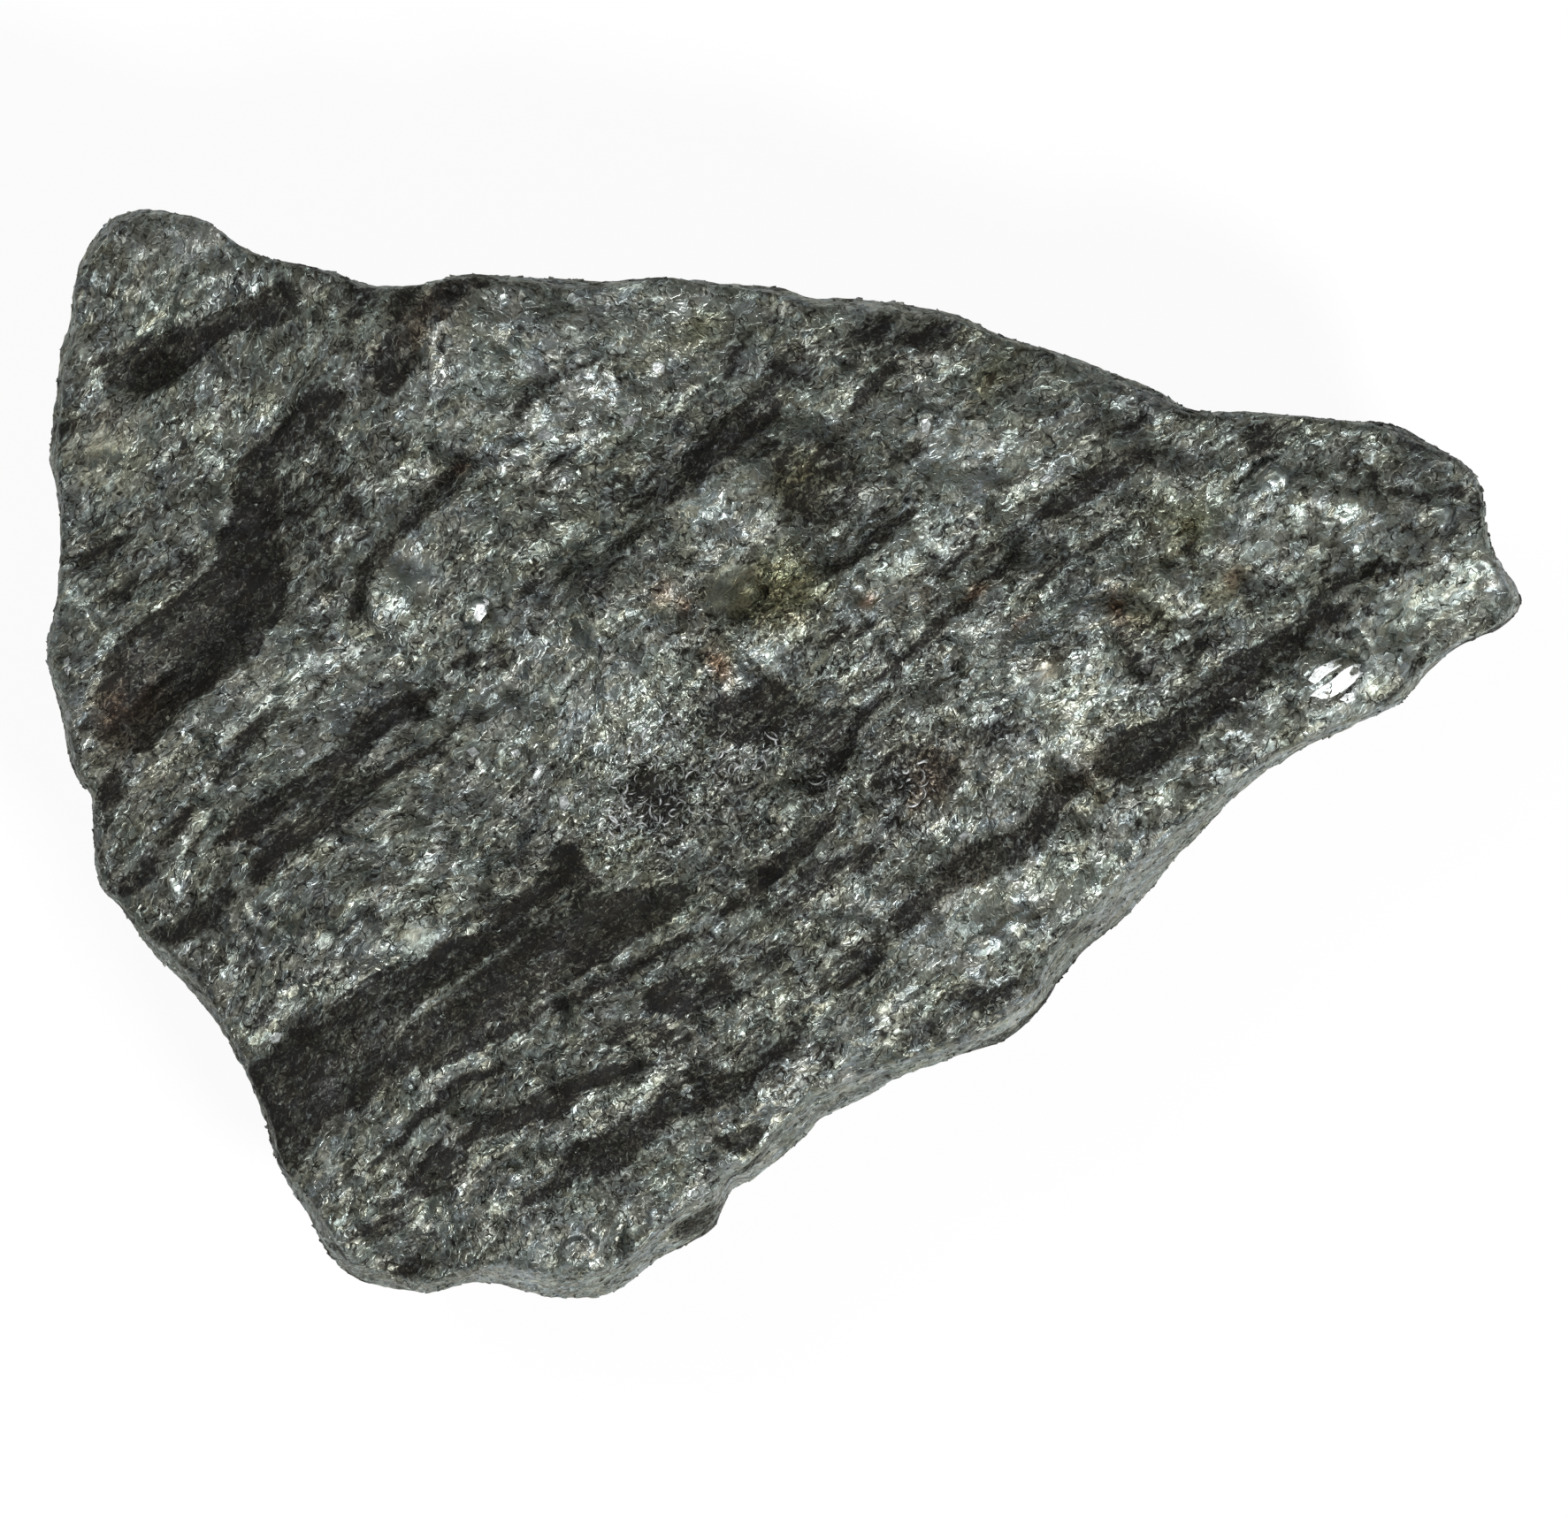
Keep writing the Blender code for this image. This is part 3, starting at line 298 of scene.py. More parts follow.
# flat flakes that shine: how light they are, and their outlines
GLINTS = [
    (0.75, [(1474, 770), (1482, 757), (1498, 749), (1514, 743), (1512, 753), (1495, 764), (1482, 775)]),
    (0.75, [(1476, 788), (1484, 780), (1500, 770), (1514, 758), (1525, 751), (1534, 752), (1536, 762),
        (1528, 772), (1512, 783), (1498, 790), (1488, 791)]),
    (0.6, [(1508, 792), (1516, 785), (1526, 783), (1528, 792), (1518, 797)]),
    (0.9, [(538, 698), (542, 685), (550, 678), (557, 682), (553, 695), (545, 706)]),
    (0.5, [(739, 414), (746, 412), (753, 417), (752, 425), (744, 427), (738, 422)]),
    (0.5, [(1040, 478), (1048, 475), (1052, 484), (1048, 494), (1041, 492)]),
    (0.3, [(634, 900), (643, 898), (647, 908), (641, 917), (635, 912)]),
    (0.3, [(530, 848), (540, 844), (546, 852), (538, 858)]),
    (0.3, [(580, 850), (588, 846), (592, 853), (584, 858)]),
    (0.3, [(604, 880), (610, 866), (618, 864), (616, 876), (608, 886)]),
    (0.35, [(338, 848), (346, 846), (351, 852), (345, 857), (338, 855)]),
    (0.3, [(650, 428), (657, 424), (661, 432), (655, 438)]),
    (0.3, [(609, 494), (618, 488), (628, 494), (622, 502), (611, 501)]),
    (0.3, [(704, 480), (712, 472), (722, 476), (718, 484), (708, 486)]),
    (0.3, [(1172, 546), (1180, 538), (1188, 542), (1184, 550)]),
    (0.3, [(308, 1172), (315, 1164), (324, 1166), (320, 1176), (312, 1178)]),
    (0.35, [(1080, 946), (1090, 938), (1096, 942), (1088, 950)]),
    (0.3, [(78, 748), (84, 742), (88, 756), (84, 766), (79, 760)]),
    (0.3, [(79, 806), (84, 800), (87, 812), (82, 820)]),
]

# soft spots: place in photo pixels, half length along the grain, half width, and strength
# spots painted brighter, partly for silver ore and partly as painted light where the surface faces away from
# the lamps, and spots painted darker
BRIGHT_SILVER_AND_PAINTED_LIGHT = [
    (540, 390, 60, 50, 0.6), (620, 450, 110, 60, 0.45), (120, 500, 35, 30, 0.6), (460, 630, 40, 20, 0.6),
    (545, 690, 22, 18, 0.7), (690, 800, 70, 60, 0.9), (600, 810, 60, 40, 0.6), (845, 580, 55, 45, 0.7),
    (870, 740, 26, 20, 0.9), (1005, 650, 80, 50, 0.3), (1075, 510, 45, 45, 0.5), (1215, 800, 45, 55, 0.4),
    (1200, 840, 32, 26, 0.5), (1430, 545, 32, 24, 0.6), (1510, 585, 30, 24, 0.7), (1610, 690, 80, 34, 0.7),
    (1430, 835, 60, 20, 0.3), (1290, 900, 70, 34, 0.4), (1140, 1000, 70, 34, 0.7),
    (1105, 1065, 55, 34, 1.0), (1160, 1010, 40, 24, 0.5), (970, 1020, 44, 22, 0.7),
    (970, 1180, 60, 22, 0.6), (850, 1256, 50, 16, 0.4), (790, 1370, 45, 16, 0.5), (700, 380, 26, 20, 0.5),
    (750, 400, 22, 18, 0.6), (560, 350, 30, 18, 0.4), (1070, 940, 34, 22, 0.7), (432, 1280, 34, 12, 0.7),
    (500, 1370, 55, 24, 0.3), (650, 1396, 60, 20, 0.4), (410, 1070, 45, 24, 0.3), (310, 760, 70, 34, 0.5),
    (200, 285, 70, 40, 0.4), (650, 905, 60, 24, 0.5), (840, 870, 120, 30, 0.3), (640, 1165, 60, 12, 0.2),
    (850, 400, 40, 16, 0.3), (1560, 745, 60, 30, 1.5), (1540, 610, 60, 34, 0.5), (530, 990, 40, 24, 0.7),
    (1395, 605, 40, 34, 0.9), (1225, 690, 34, 24, 1.2), (1150, 728, 50, 20, 1.5), (1090, 530, 50, 24, 0.6),
    (435, 1160, 40, 30, 0.7), (1060, 1050, 70, 24, 0.6), (1640, 600, 30, 30, 1.1), (1410, 612, 40, 30, 0.5),
    (1290, 510, 30, 12, 0.5), (700, 335, 160, 14, 0.4), (240, 265, 30, 24, 0.8), (600, 1436, 100, 24, 1.5),
    (930, 1236, 60, 20, 0.5), (820, 1320, 50, 24, 0.5), (1270, 970, 60, 30, 0.7), (1370, 905, 50, 16, 0.4),
    (640, 608, 40, 20, 0.6), (550, 786, 60, 14, 0.6), (395, 750, 24, 24, 0.6), (1370, 585, 50, 26, 0.6),
    (1090, 535, 50, 20, 0.6), (1040, 462, 50, 26, 0.5), (910, 480, 60, 16, 0.5), (730, 485, 50, 14, 0.4),
    (810, 995, 40, 20, 0.4), (440, 1120, 40, 20, 0.4), (230, 600, 50, 20, 0.6), (70, 660, 20, 160, 1.2),
    (74, 790, 16, 60, 1.0), (440, 790, 50, 14, 0.4), (980, 690, 40, 20, 0.5), (1130, 1160, 60, 20, 0.5),
    (1560, 600, 60, 40, 0.5), (240, 604, 34, 20, 0.6), (460, 655, 26, 22, 1.3), (600, 436, 40, 14, 0.8),
    (748, 428, 20, 12, 0.8), (670, 726, 16, 12, 0.8), (1178, 724, 24, 12, 0.9), (930, 895, 20, 12, 0.7),
    (955, 1036, 20, 12, 0.9), (1110, 1045, 50, 20, 0.7), (430, 1092, 30, 16, 0.6), (440, 1180, 40, 16, 0.5),
    (1315, 518, 24, 12, 0.8), (1450, 682, 30, 14, 0.7), (1288, 676, 14, 16, 0.7), (332, 1334, 20, 16, 0.6),
    (370, 1424, 24, 16, 0.7), (1000, 340, 120, 16, 0.5), (360, 1390, 24, 40, 0.6), (280, 1250, 14, 80, 0.5),
    (850, 790, 30, 14, 0.2),
]
DULL = [
    (980, 725, 120, 26, 0.5), (750, 905, 50, 24, 0.4), (200, 560, 60, 110, 0.3), (1380, 620, 60, 40, 0.3),
    (1120, 440, 60, 22, 0.4), (890, 560, 30, 44, 0.5), (860, 670, 60, 34, 0.4), (1250, 690, 30, 40, 0.3),
    (380, 350, 60, 24, 0.4), (1100, 1150, 60, 20, 0.4), (1000, 900, 70, 60, 0.4), (560, 1240, 120, 60, 0.2),
    (600, 620, 70, 30, 0.3), (830, 668, 34, 24, 1.3), (180, 640, 80, 40, 0.3), (240, 900, 60, 30, 0.2),
    (560, 1040, 120, 50, 0.2), (840, 960, 150, 60, 0.6), (640, 1230, 160, 50, 0.35),
    (400, 1262, 60, 12, 0.8), (640, 1360, 50, 24, 0.6), (885, 1205, 34, 14, 0.8), (760, 1180, 90, 30, 0.5),
    (600, 980, 40, 24, 0.6), (910, 1025, 50, 24, 0.6), (770, 880, 110, 50, 1.0), (785, 1096, 40, 20, 0.9),
    (600, 985, 40, 30, 0.6), (335, 968, 40, 14, 0.5), (230, 780, 50, 20, 0.6), (938, 1078, 20, 14, 0.7),
    (910, 1118, 34, 14, 0.6), (1280, 600, 20, 14, 0.7), (1340, 482, 34, 14, 0.6), (465, 522, 24, 20, 0.6),
    (660, 474, 20, 14, 0.5), (1060, 1130, 60, 24, 0.5), (865, 1168, 34, 16, 0.5), (1650, 715, 30, 14, 0.6),
    (1020, 940, 60, 16, 0.5), (500, 700, 40, 14, 0.5), (480, 1050, 60, 40, 0.4), (530, 945, 60, 30, 0.3),
    (350, 640, 50, 40, 0.5), (1030, 930, 50, 34, 0.5), (330, 970, 40, 20, 0.6), (120, 615, 40, 16, 0.6),
    (165, 665, 40, 20, 0.4), (410, 560, 24, 40, 0.5), (290, 450, 24, 16, 0.7), (1285, 590, 34, 20, 0.8),
    (1450, 640, 30, 20, 0.7), (1210, 760, 60, 40, 0.4), (740, 610, 50, 50, 0.4), (590, 895, 60, 16, 0.4),
    (430, 1330, 60, 24, 0.5), (590, 1360, 30, 16, 0.5), (220, 960, 40, 24, 0.4), (1030, 400, 80, 20, 0.8),
    (685, 522, 40, 16, 0.7), (490, 1020, 30, 16, 0.4), (250, 1090, 50, 24, 0.4), (870, 870, 50, 20, 0.4),
    (1300, 750, 50, 30, 0.4), (420, 500, 30, 30, 0.3), (845, 1168, 34, 18, 0.9), (1200, 972, 40, 14, 0.7),
    (1140, 1130, 80, 20, 0.2), (880, 820, 40, 20, 0.5), (1030, 835, 50, 16, 0.6), (700, 945, 60, 20, 0.3),
    (820, 716, 60, 10, 0.9), (622, 597, 24, 12, 0.8), (415, 550, 16, 20, 0.8), (220, 480, 24, 14, 0.8),
    (1172, 670, 30, 14, 0.9), (1008, 636, 20, 12, 0.9), (1308, 706, 14, 30, 0.8), (1145, 550, 30, 12, 0.8),
    (1412, 786, 24, 14, 0.9), (1230, 832, 20, 14, 0.8), (140, 955, 60, 30, 0.5), (195, 1030, 20, 16, 0.8),
    (1320, 940, 30, 14, 0.7), (505, 1018, 20, 12, 0.8), (80, 430, 24, 50, 0.4), (110, 315, 30, 24, 0.4),
]
# stains
RUST = [
    (505, 340, 36, 20, 0.5), (525, 530, 14, 8, 0.8), (750, 670, 18, 12, 0.8), (980, 682, 12, 7, 1.0),
    (1102, 672, 18, 8, 0.9), (1150, 706, 22, 6, 0.7), (815, 755, 14, 22, 0.9), (782, 694, 12, 20, 0.9),
    (1040, 885, 54, 30, 0.6), (1220, 880, 30, 18, 0.5), (280, 935, 30, 10, 0.5), (150, 800, 50, 34, 0.7),
    (1264, 690, 16, 30, 1.0), (665, 1410, 10, 8, 0.7), (1180, 760, 16, 12, 0.4), (470, 380, 34, 22, 0.4),
    (1392, 655, 12, 10, 1.0), (620, 545, 24, 10, 0.3),
]
OLIVE = [
    (900, 545, 46, 30, 0.9), (850, 670, 50, 30, 0.9), (1340, 600, 44, 30, 0.9), (1288, 690, 30, 34, 0.8),
    (1120, 430, 50, 22, 0.6), (785, 380, 30, 20, 0.6), (130, 500, 34, 26, 0.3), (1385, 660, 40, 18, 0.5),
    (880, 700, 30, 16, 0.6), (640, 1020, 120, 24, 0.25), (730, 1040, 60, 24, 0.3), (1235, 900, 34, 24, 0.5),
    (905, 668, 34, 40, 0.9),
]
DUST = [
    (120, 510, 30, 30, 0.5), (185, 285, 40, 34, 0.3), (505, 375, 22, 12, 0.5), (555, 350, 20, 12, 0.4),
    (1024, 680, 30, 22, 0.7), (1210, 850, 44, 30, 0.4), (130, 855, 40, 14, 0.6), (1390, 655, 20, 14, 0.5),
    (345, 1330, 16, 10, 0.5), (740, 400, 60, 22, 0.3), (180, 880, 34, 16, 0.4), (1090, 1000, 40, 26, 0.3),
]
# where the ore breaks in bigger flat plates, where it is smooth, and where the flakes curl into threads
PLATES = [
    (1600, 640, 130, 80, 1.0), (1450, 580, 110, 60, 0.8), (1560, 740, 80, 34, 0.9),
    (1400, 850, 110, 34, 0.7), (1340, 690, 100, 60, 0.6), (1220, 800, 60, 50, 0.6),
    (1260, 920, 110, 34, 0.5), (850, 580, 60, 50, 0.8), (1020, 640, 70, 40, 0.7), (1090, 500, 90, 50, 0.6),
    (1100, 1050, 90, 34, 0.5), (700, 730, 60, 40, 0.4), (620, 450, 80, 50, 0.4), (870, 740, 30, 24, 0.9),
    (550, 690, 26, 20, 0.8), (960, 1180, 80, 30, 0.4),
]
PLAIN = [
    (1176, 768, 34, 16, 0.9), (472, 1056, 26, 22, 0.9), (830, 668, 32, 24, 1.5), (120, 505, 24, 24, 0.8),
]
CURLY = [
    (750, 900, 90, 45, 1.8), (940, 890, 34, 24, 1.0), (1030, 880, 44, 30, 0.9), (870, 845, 44, 14, 1.0),
    (700, 840, 90, 50, 0.5), (850, 960, 80, 30, 0.3), (900, 700, 330, 200, 0.45),
    (1320, 640, 260, 120, 0.45), (1240, 880, 200, 70, 0.45), (650, 430, 200, 90, 0.4),
    (850, 1150, 330, 90, 0.35), (620, 1380, 200, 60, 0.3),
]

# how the listed marks are laid down, in pixels
BAND_EDGE = 7.0  # half width of the soft edge of a band
PLATE_EDGE = 5.0  # and of a light line or plate
EDGE_SHARE = 0.7  # the most that it is, as a share of a stroke's half width
EDGE_REACH = 3.0  # how many soft edges away a mark is still looked at
BAND_ENDS = 0.45  # width of a stroke at its ends, as a share of its full width
WAVER = 4.0  # how far the marks waver, and the sizes and seeds of the noise that moves them, in mm
WAVER_SIZES = (2.6, 1.2, 2.0)
WAVER_SEEDS = (3.1, 47.3)

# what the surface is like where the photograph shows nothing: noise sizes in mm, seed and share
STRIPES = (((16.0, 1.7, 12.0), 7.7, 1.0), ((8.0, 0.8, 6.0), 23.9, 0.6))
STRIPE_EDGE = (0.12, 0.38)
STRIPE_DARK = 0.9
SHEENS = (((7.0, 1.3, 4.0), 61.0, 0.25), ((2.4, 1.6, 2.0), 83.0, 0.2))
RUST_BELOW = ((6.0, 3.0, 4.0), 91.0)
RUST_FROM = 0.25
FACE_UP = (0.05, 0.45)  # how far up a place looks on the sides, and on the broken face
RIM_UP = (0.15, 0.75)  # and on the brow, and on flatter ground
BROW_BANDS = 0.35  # how much of the bands goes on over the brow
LINE_SILVER = 0.9
SILVER_RANGE = (-1.3, 1.5)
PLATES_BELOW = 0.5
LIGHT_PLAIN = 0.45  # how smooth the light plates are

# the fine surface, in millimetres
CUTS = 3  # cuts in each edge of the solid
SMOOTH_ROUNDS = 3
RIDGE_HEIGHT = 0.12
RIDGE_MIDDLE = 0.6
RIDGES = ((2.2, 0.9, 1.3), 2, 5.0)  # sizes, octaves and seed
RIDGE_FADE = 0.55  # of each octave against the last one
STEP_HEIGHT = 0.04
STEP_TILT = 1.2
STEPS = ((1.7, 0.9, 1.2), 13.0)
CRUMB_HEIGHT = 0.03
CRUMBS = ((0.8, 0.5, 0.6), 29.0)
PLATES_RISE = 0.4  # how much higher the relief is between big plates
PLAIN_FALL = 0.8  # and how much lower on smooth spots and in the bands
BAND_FALL = 0.55
BAND_SINK = 0.05  # the dark bands lie this much deeper
REST_HEIGHT = 0.05  # the ground below this height lies on the table and stays as it is
UP = Vector((0.0, 0.0, 1.0))
RAY_FROM = 100.0

# loose flakes all over the surface, in millimetres
FLAKE_COUNT = 12000
FLAKE_CORNERS = 5
FLAKE_HALF_LENGTH = (0.14, 0.36)
FLAKE_HALF_WIDTH = (0.08, 0.20)
FLAKE_REACH = (0.75, 1.15)  # of its corners, as a share of that
FLAKE_SLIP = 0.3  # of its corners round it, in steps from corner to corner
FLAKE_BIGGER = 1.2  # how much bigger it is at the most between big plates
FLAKE_SMALLER = 0.9  # and smaller on smooth spots
FLAKE_TILT = 0.20  # usual lean out of the surface, in mm per mm
FLAKE_TURN = 0.6  # usual turn away from the run of the flakes, in radians
FLAKE_LIFT = 0.02
FLAKE_ROOT = 0.06
FLAKE_FREE = 0.8  # no flake lies lower than this above the table
FLAKE_SILVER = 0.5  # how much its silver differs from that of the ground
FLAKE_SHINING = 0.08  # share of the flakes that shine in the bands, and how dark those are
FLAKE_SHINE = 0.4
FLAKE_SEED = 4

# curled flakes, in millimetres
CURL_TRIES = 36000
CURL_FROM = 0.55  # how curly a place has to be to have any
CURL_UP = 0.5  # how far up it has to look
CURL_LIGHT = (0.2, 0.8)
CURL_LENGTH = (0.25, 1.1)
CURL_RADIUS = (0.15, 0.8)
CURL_HALF_WIDTH = (0.025, 0.06)
CURL_ENDS = 0.25  # width at the ends, as a share of the middle's
CURL_HEIGHT = 0.05
CURL_FOOT = 0.4  # height at the ends, in the same shares
CURL_DROP = 0.05  # of its edges under its crest
CURL_STEPS = 8
CURL_SEED = 9

# bright flakes, in millimetres: width as a share, and height over the surface, of each ring
GLINT_RINGS = ((1.0, -0.30), (1.0, 0.0), (0.86, 0.05), (0.4, 0.05))


def photo_point(place):
    """Millimetres from photo pixels."""
    offset = (np.asarray(place, float) - ORIGIN_PIXEL) * MM_PER_PIXEL
    return offset * (1.0, -1.0)


def smooth_step(low, high, value):
    share = np.clip((value - low) / (high - low), 0.0, 1.0)
    return share * share * (3.0 - 2.0 * share)


def run_places(x, y, runs=GRAIN, reach=GRAIN_REACH):
    """How far along and how far across the layers, or the flakes, each place is."""
    along = np.zeros_like(x)
    across = np.zeros_like(x)
    weights = np.zeros_like(x)
    for near_x, near_y, degrees in runs:
        weight = np.exp(-((x - near_x) ** 2 + (y - near_y) ** 2) / (2.0 * reach**2)) + 1e-6
        turn = math.radians(degrees)
        base_along = near_x * math.cos(MAIN_GRAIN) + near_y * math.sin(MAIN_GRAIN)
        base_across = near_y * math.cos(MAIN_GRAIN) - near_x * math.sin(MAIN_GRAIN)
        along += weight * (base_along + (x - near_x) * math.cos(turn) + (y - near_y) * math.sin(turn))
        across += weight * (base_across + (y - near_y) * math.cos(turn) - (x - near_x) * math.sin(turn))
        weights += weight
    return along / weights, across / weights


def flake_direction(places):
    """Which way the flakes run at each place, seen from above."""
    step = 0.05
    x, y = places[:, 0], places[:, 1]
    moves = ((0.0, 0.0), (step, 0.0), (0.0, step))
    here, right, up = (run_places(x + dx, y + dy, FLAKES, FLAKES_REACH)[0] for dx, dy in moves)
    return np.stack((right - here, up - here, np.full(len(x), 1e-4)), 1)


def noise_values(places, sizes, seed, share=1.0):
    """Smooth noise between about -1 and 1, with bumps of the given length, width and depth."""
    scaled = places / np.array(sizes) + seed
    return share * np.array([noise.noise(Vector(p)) for p in scaled])


def ridge_values(places, sizes, octaves, seed):
    """Noise with sharp crests, from 0 in the hollows to about 1 on the crests."""
    total = np.zeros(len(places))
    weight = 1.0
    reach = 0.0
    for octave in range(octaves):
        wave = noise_values(places, np.array(sizes) / 2.0**octave, seed + 11.7 * octave)
        total += weight * (1.0 - np.abs(wave)) ** 2
        reach += weight
        weight *= RIDGE_FADE
    return total / reach


def step_values(places, sizes, seed):
    """Small tilted steps: a height from -1 to 1 for each flake, and its tilt."""
    scaled = places / np.array(sizes) + seed
    heights = np.empty(len(places))
    for i, p in enumerate(scaled):
        near = noise.voronoi(Vector(p))[1][0]
        tilt = noise.cell_vector(near * 17.3) - Vector((0.5, 0.5, 0.5))
        heights[i] = STEP_TILT * tilt.dot(Vector(p) - near) + noise.cell(near * 31.7) - 0.5
    return heights


def near_shape(pixels, points, reach):
    """Which places are near enough to a mark to be looked at."""
    low = points.min(0) - reach
    high = points.max(0) + reach
    return np.flatnonzero(((pixels > low) & (pixels < high)).all(1))


def gap_to(pixels, start, end):
    """How far each place is from a straight line, and how far along the line it lies, as a share."""
    run = end - start
    share = np.clip((pixels - start) @ run / (run @ run), 0.0, 1.0)
    return np.hypot(*(pixels - start - share[:, None] * run).T), share


def stroke_depth(pixels, half_width, line):
    """How far inside a stroke each place is, in pixels. The stroke is thinner at its ends."""
    best = np.full(len(pixels), -1e9)
    for i, (start, end) in enumerate(zip(line, line[1:])):
        gap, share = gap_to(pixels, start, end)
        place = (i + share) / (len(line) - 1)
        width = half_width * (BAND_ENDS + (1.0 - BAND_ENDS) * np.sqrt(np.sin(np.pi * place) + 1e-9))
        best = np.maximum(best, width - gap)
    return best


def outline_depth(pixels, outline):
    """How far inside a closed outline each place is, in pixels, and less than nothing outside it."""
    best = np.full(len(pixels), 1e9)
    inside = np.zeros(len(pixels), bool)
    for start, end in zip(outline, np.roll(outline, -1, 0)):
        best = np.minimum(best, gap_to(pixels, start, end)[0])
        run = end - start
        crosses = (start[1] > pixels[:, 1]) != (end[1] > pixels[:, 1])
        slope = run[0] / run[1] if run[1] else 0.0
        inside ^= crosses & (pixels[:, 0] < start[0] + (pixels[:, 1] - start[1]) * slope)
    return np.where(inside, best, -best)


def strokes_values(pixels, strokes, edge):
    """The strongest of the listed strokes at each place."""
    total = np.zeros(len(pixels))
    for strength, half_width, line in strokes:
        line = np.array(line, float)
        soft = min(edge, EDGE_SHARE * half_width)
        near = near_shape(pixels, line, half_width + EDGE_REACH * edge)
        inside = smooth_step(-soft, soft, stroke_depth(pixels[near], half_width, line))
        total[near] = np.maximum(total[near], strength * inside)
    return total


def outlines_values(pixels, outlines, edge):
    """The strongest of the listed outlines at each place."""
    total = np.zeros(len(pixels))
    for strength, outline in outlines:
        outline = np.array(outline, float)
        near = near_shape(pixels, outline, EDGE_REACH * edge)
        inside = smooth_step(-edge, edge, outline_depth(pixels[near], outline))
        total[near] = np.maximum(total[near], strength * inside)
    return total


def spot_values(along, across, spots):
    """Sum of soft spots that are drawn out along the grain."""
    total = np.zeros(len(along))
    for place_x, place_y, half_length, half_width, strength in spots:
        x, y = photo_point((place_x, place_y))
        spot_along, spot_across = run_places(np.array([x]), np.array([y]))
        far = ((along - spot_along) / (half_length * MM_PER_PIXEL)) ** 2
        far += ((across - spot_across) / (half_width * MM_PER_PIXEL)) ** 2
        total += strength * np.exp(-far)
    return total


def spot_shares(along, across, spots):
    return np.clip(spot_values(along, across, spots), 0.0, 1.0)


def surface_values(places, normals):
    """What the displacement and the material need at each place on the slab, three numbers to a name."""
    depth = places[:, 2]
    along, across = run_places(places[:, 0], places[:, 1])
    flow = np.stack((along, across + (depth - MID_DEPTH) * LAYER_DIP, depth), 1)
    flake_along, flake_across = run_places(places[:, 0], places[:, 1], FLAKES, FLAKES_REACH)
    fleck = np.stack((flake_along, flake_across, depth), 1)
    upness = smooth_step(*FACE_UP, normals[:, 2])
    # the brow: the material paints it lighter, as painted light, and makes it rougher and less metallic
    brow_and_painted_light = 1.0 - smooth_step(*RIM_UP, normals[:, 2])

    waver = np.stack([noise_values(flow, WAVER_SIZES, seed) for seed in WAVER_SEEDS], 1)
    pixels = places[:, :2] * (1.0, -1.0) / MM_PER_PIXEL + ORIGIN_PIXEL + WAVER * waver
    light_lines = strokes_values(pixels, LIGHT_LINES, PLATE_EDGE)
    light_plates = outlines_values(pixels, LIGHT_PLATES, PLATE_EDGE)
    bands = np.maximum(strokes_values(pixels, BANDS, BAND_EDGE), outlines_values(pixels, PATCHES, BAND_EDGE))
    bands *= (1.0 - light_lines) * np.clip(upness + BROW_BANDS, 0.0, 1.0)
    stripes = STRIPE_DARK * smooth_step(*STRIPE_EDGE, sum(noise_values(flow, *stripe) for stripe in STRIPES))
    dark = np.maximum(bands, stripes * (1.0 - upness))

    # silver of the ore, with painted light from the bright spots
    silver = spot_values(along, across, BRIGHT_SILVER_AND_PAINTED_LIGHT) - spot_values(along, across, DULL)
    silver = (silver + light_plates + LINE_SILVER * light_lines) * upness
    silver = np.clip(silver + sum(noise_values(flow, *sheen) for sheen in SHEENS), *SILVER_RANGE)

    rust, olive, dust = (
        np.clip(spot_values(along, across, spots) * upness, 0.0, 1.0) for spots in (RUST, OLIVE, DUST)
    )
    rust_below = np.clip(noise_values(flow, *RUST_BELOW) - RUST_FROM, 0.0, 1.0)
    rust = np.clip(rust + rust_below * (1.0 - upness), 0.0, 1.0)
    plates, plain, curly = (spot_shares(along, across, spots) for spots in (PLATES, PLAIN, CURLY))
    plates = plates * upness + PLATES_BELOW * (1.0 - upness)
    plain = np.maximum(plain, LIGHT_PLAIN * light_plates) * upness
    return {
        "flow": flow, "fleck": fleck, "tone": np.stack((dark, silver, brow_and_painted_light), 1),
        "habit": np.stack((plates, plain, curly), 1), "stain": np.stack((rust, olive, dust), 1),
    }


def displaced(places, normals, values):
    """The places moved out or in by the flaky grain of the ore."""
    fleck = values["fleck"]
    dark = values["tone"][:, 0]
    plates, plain = values["habit"][:, :2].T
    height = RIDGE_HEIGHT * (ridge_values(fleck, *RIDGES) - RIDGE_MIDDLE)
    height += STEP_HEIGHT * step_values(fleck, *STEPS)
    height += CRUMB_HEIGHT * noise_values(fleck, *CRUMBS)
    height *= (1.0 + PLATES_RISE * plates) * (1.0 - PLAIN_FALL * np.maximum(plain - LIGHT_PLAIN, 0.0))
    height *= 1.0 - BAND_FALL * dark
    height -= BAND_SINK * dark * smooth_step(*FACE_UP, normals[:, 2])
    moved = places + normals * height[:, None]
    moved[:, 2] = np.maximum(moved[:, 2], 0.0)
    resting = places[:, 2] < REST_HEIGHT
    moved[resting] = places[resting]
    return moved


def store_values(mesh, values):
    """Keeps what surface_values worked out, for the material."""
    for name, layer in values.items():
        stored = mesh.attributes.new(name, "FLOAT_VECTOR", "POINT")
        stored.data.foreach_set("vector", np.ascontiguousarray(layer, np.float32).ravel())


def add_piece(mesh, material):
    """A piece of the scene with the mesh's own name."""
    mesh.materials.append(material)
    piece = bpy.data.objects.new(mesh.name, mesh)
    bpy.context.scene.collection.objects.link(piece)
    return piece


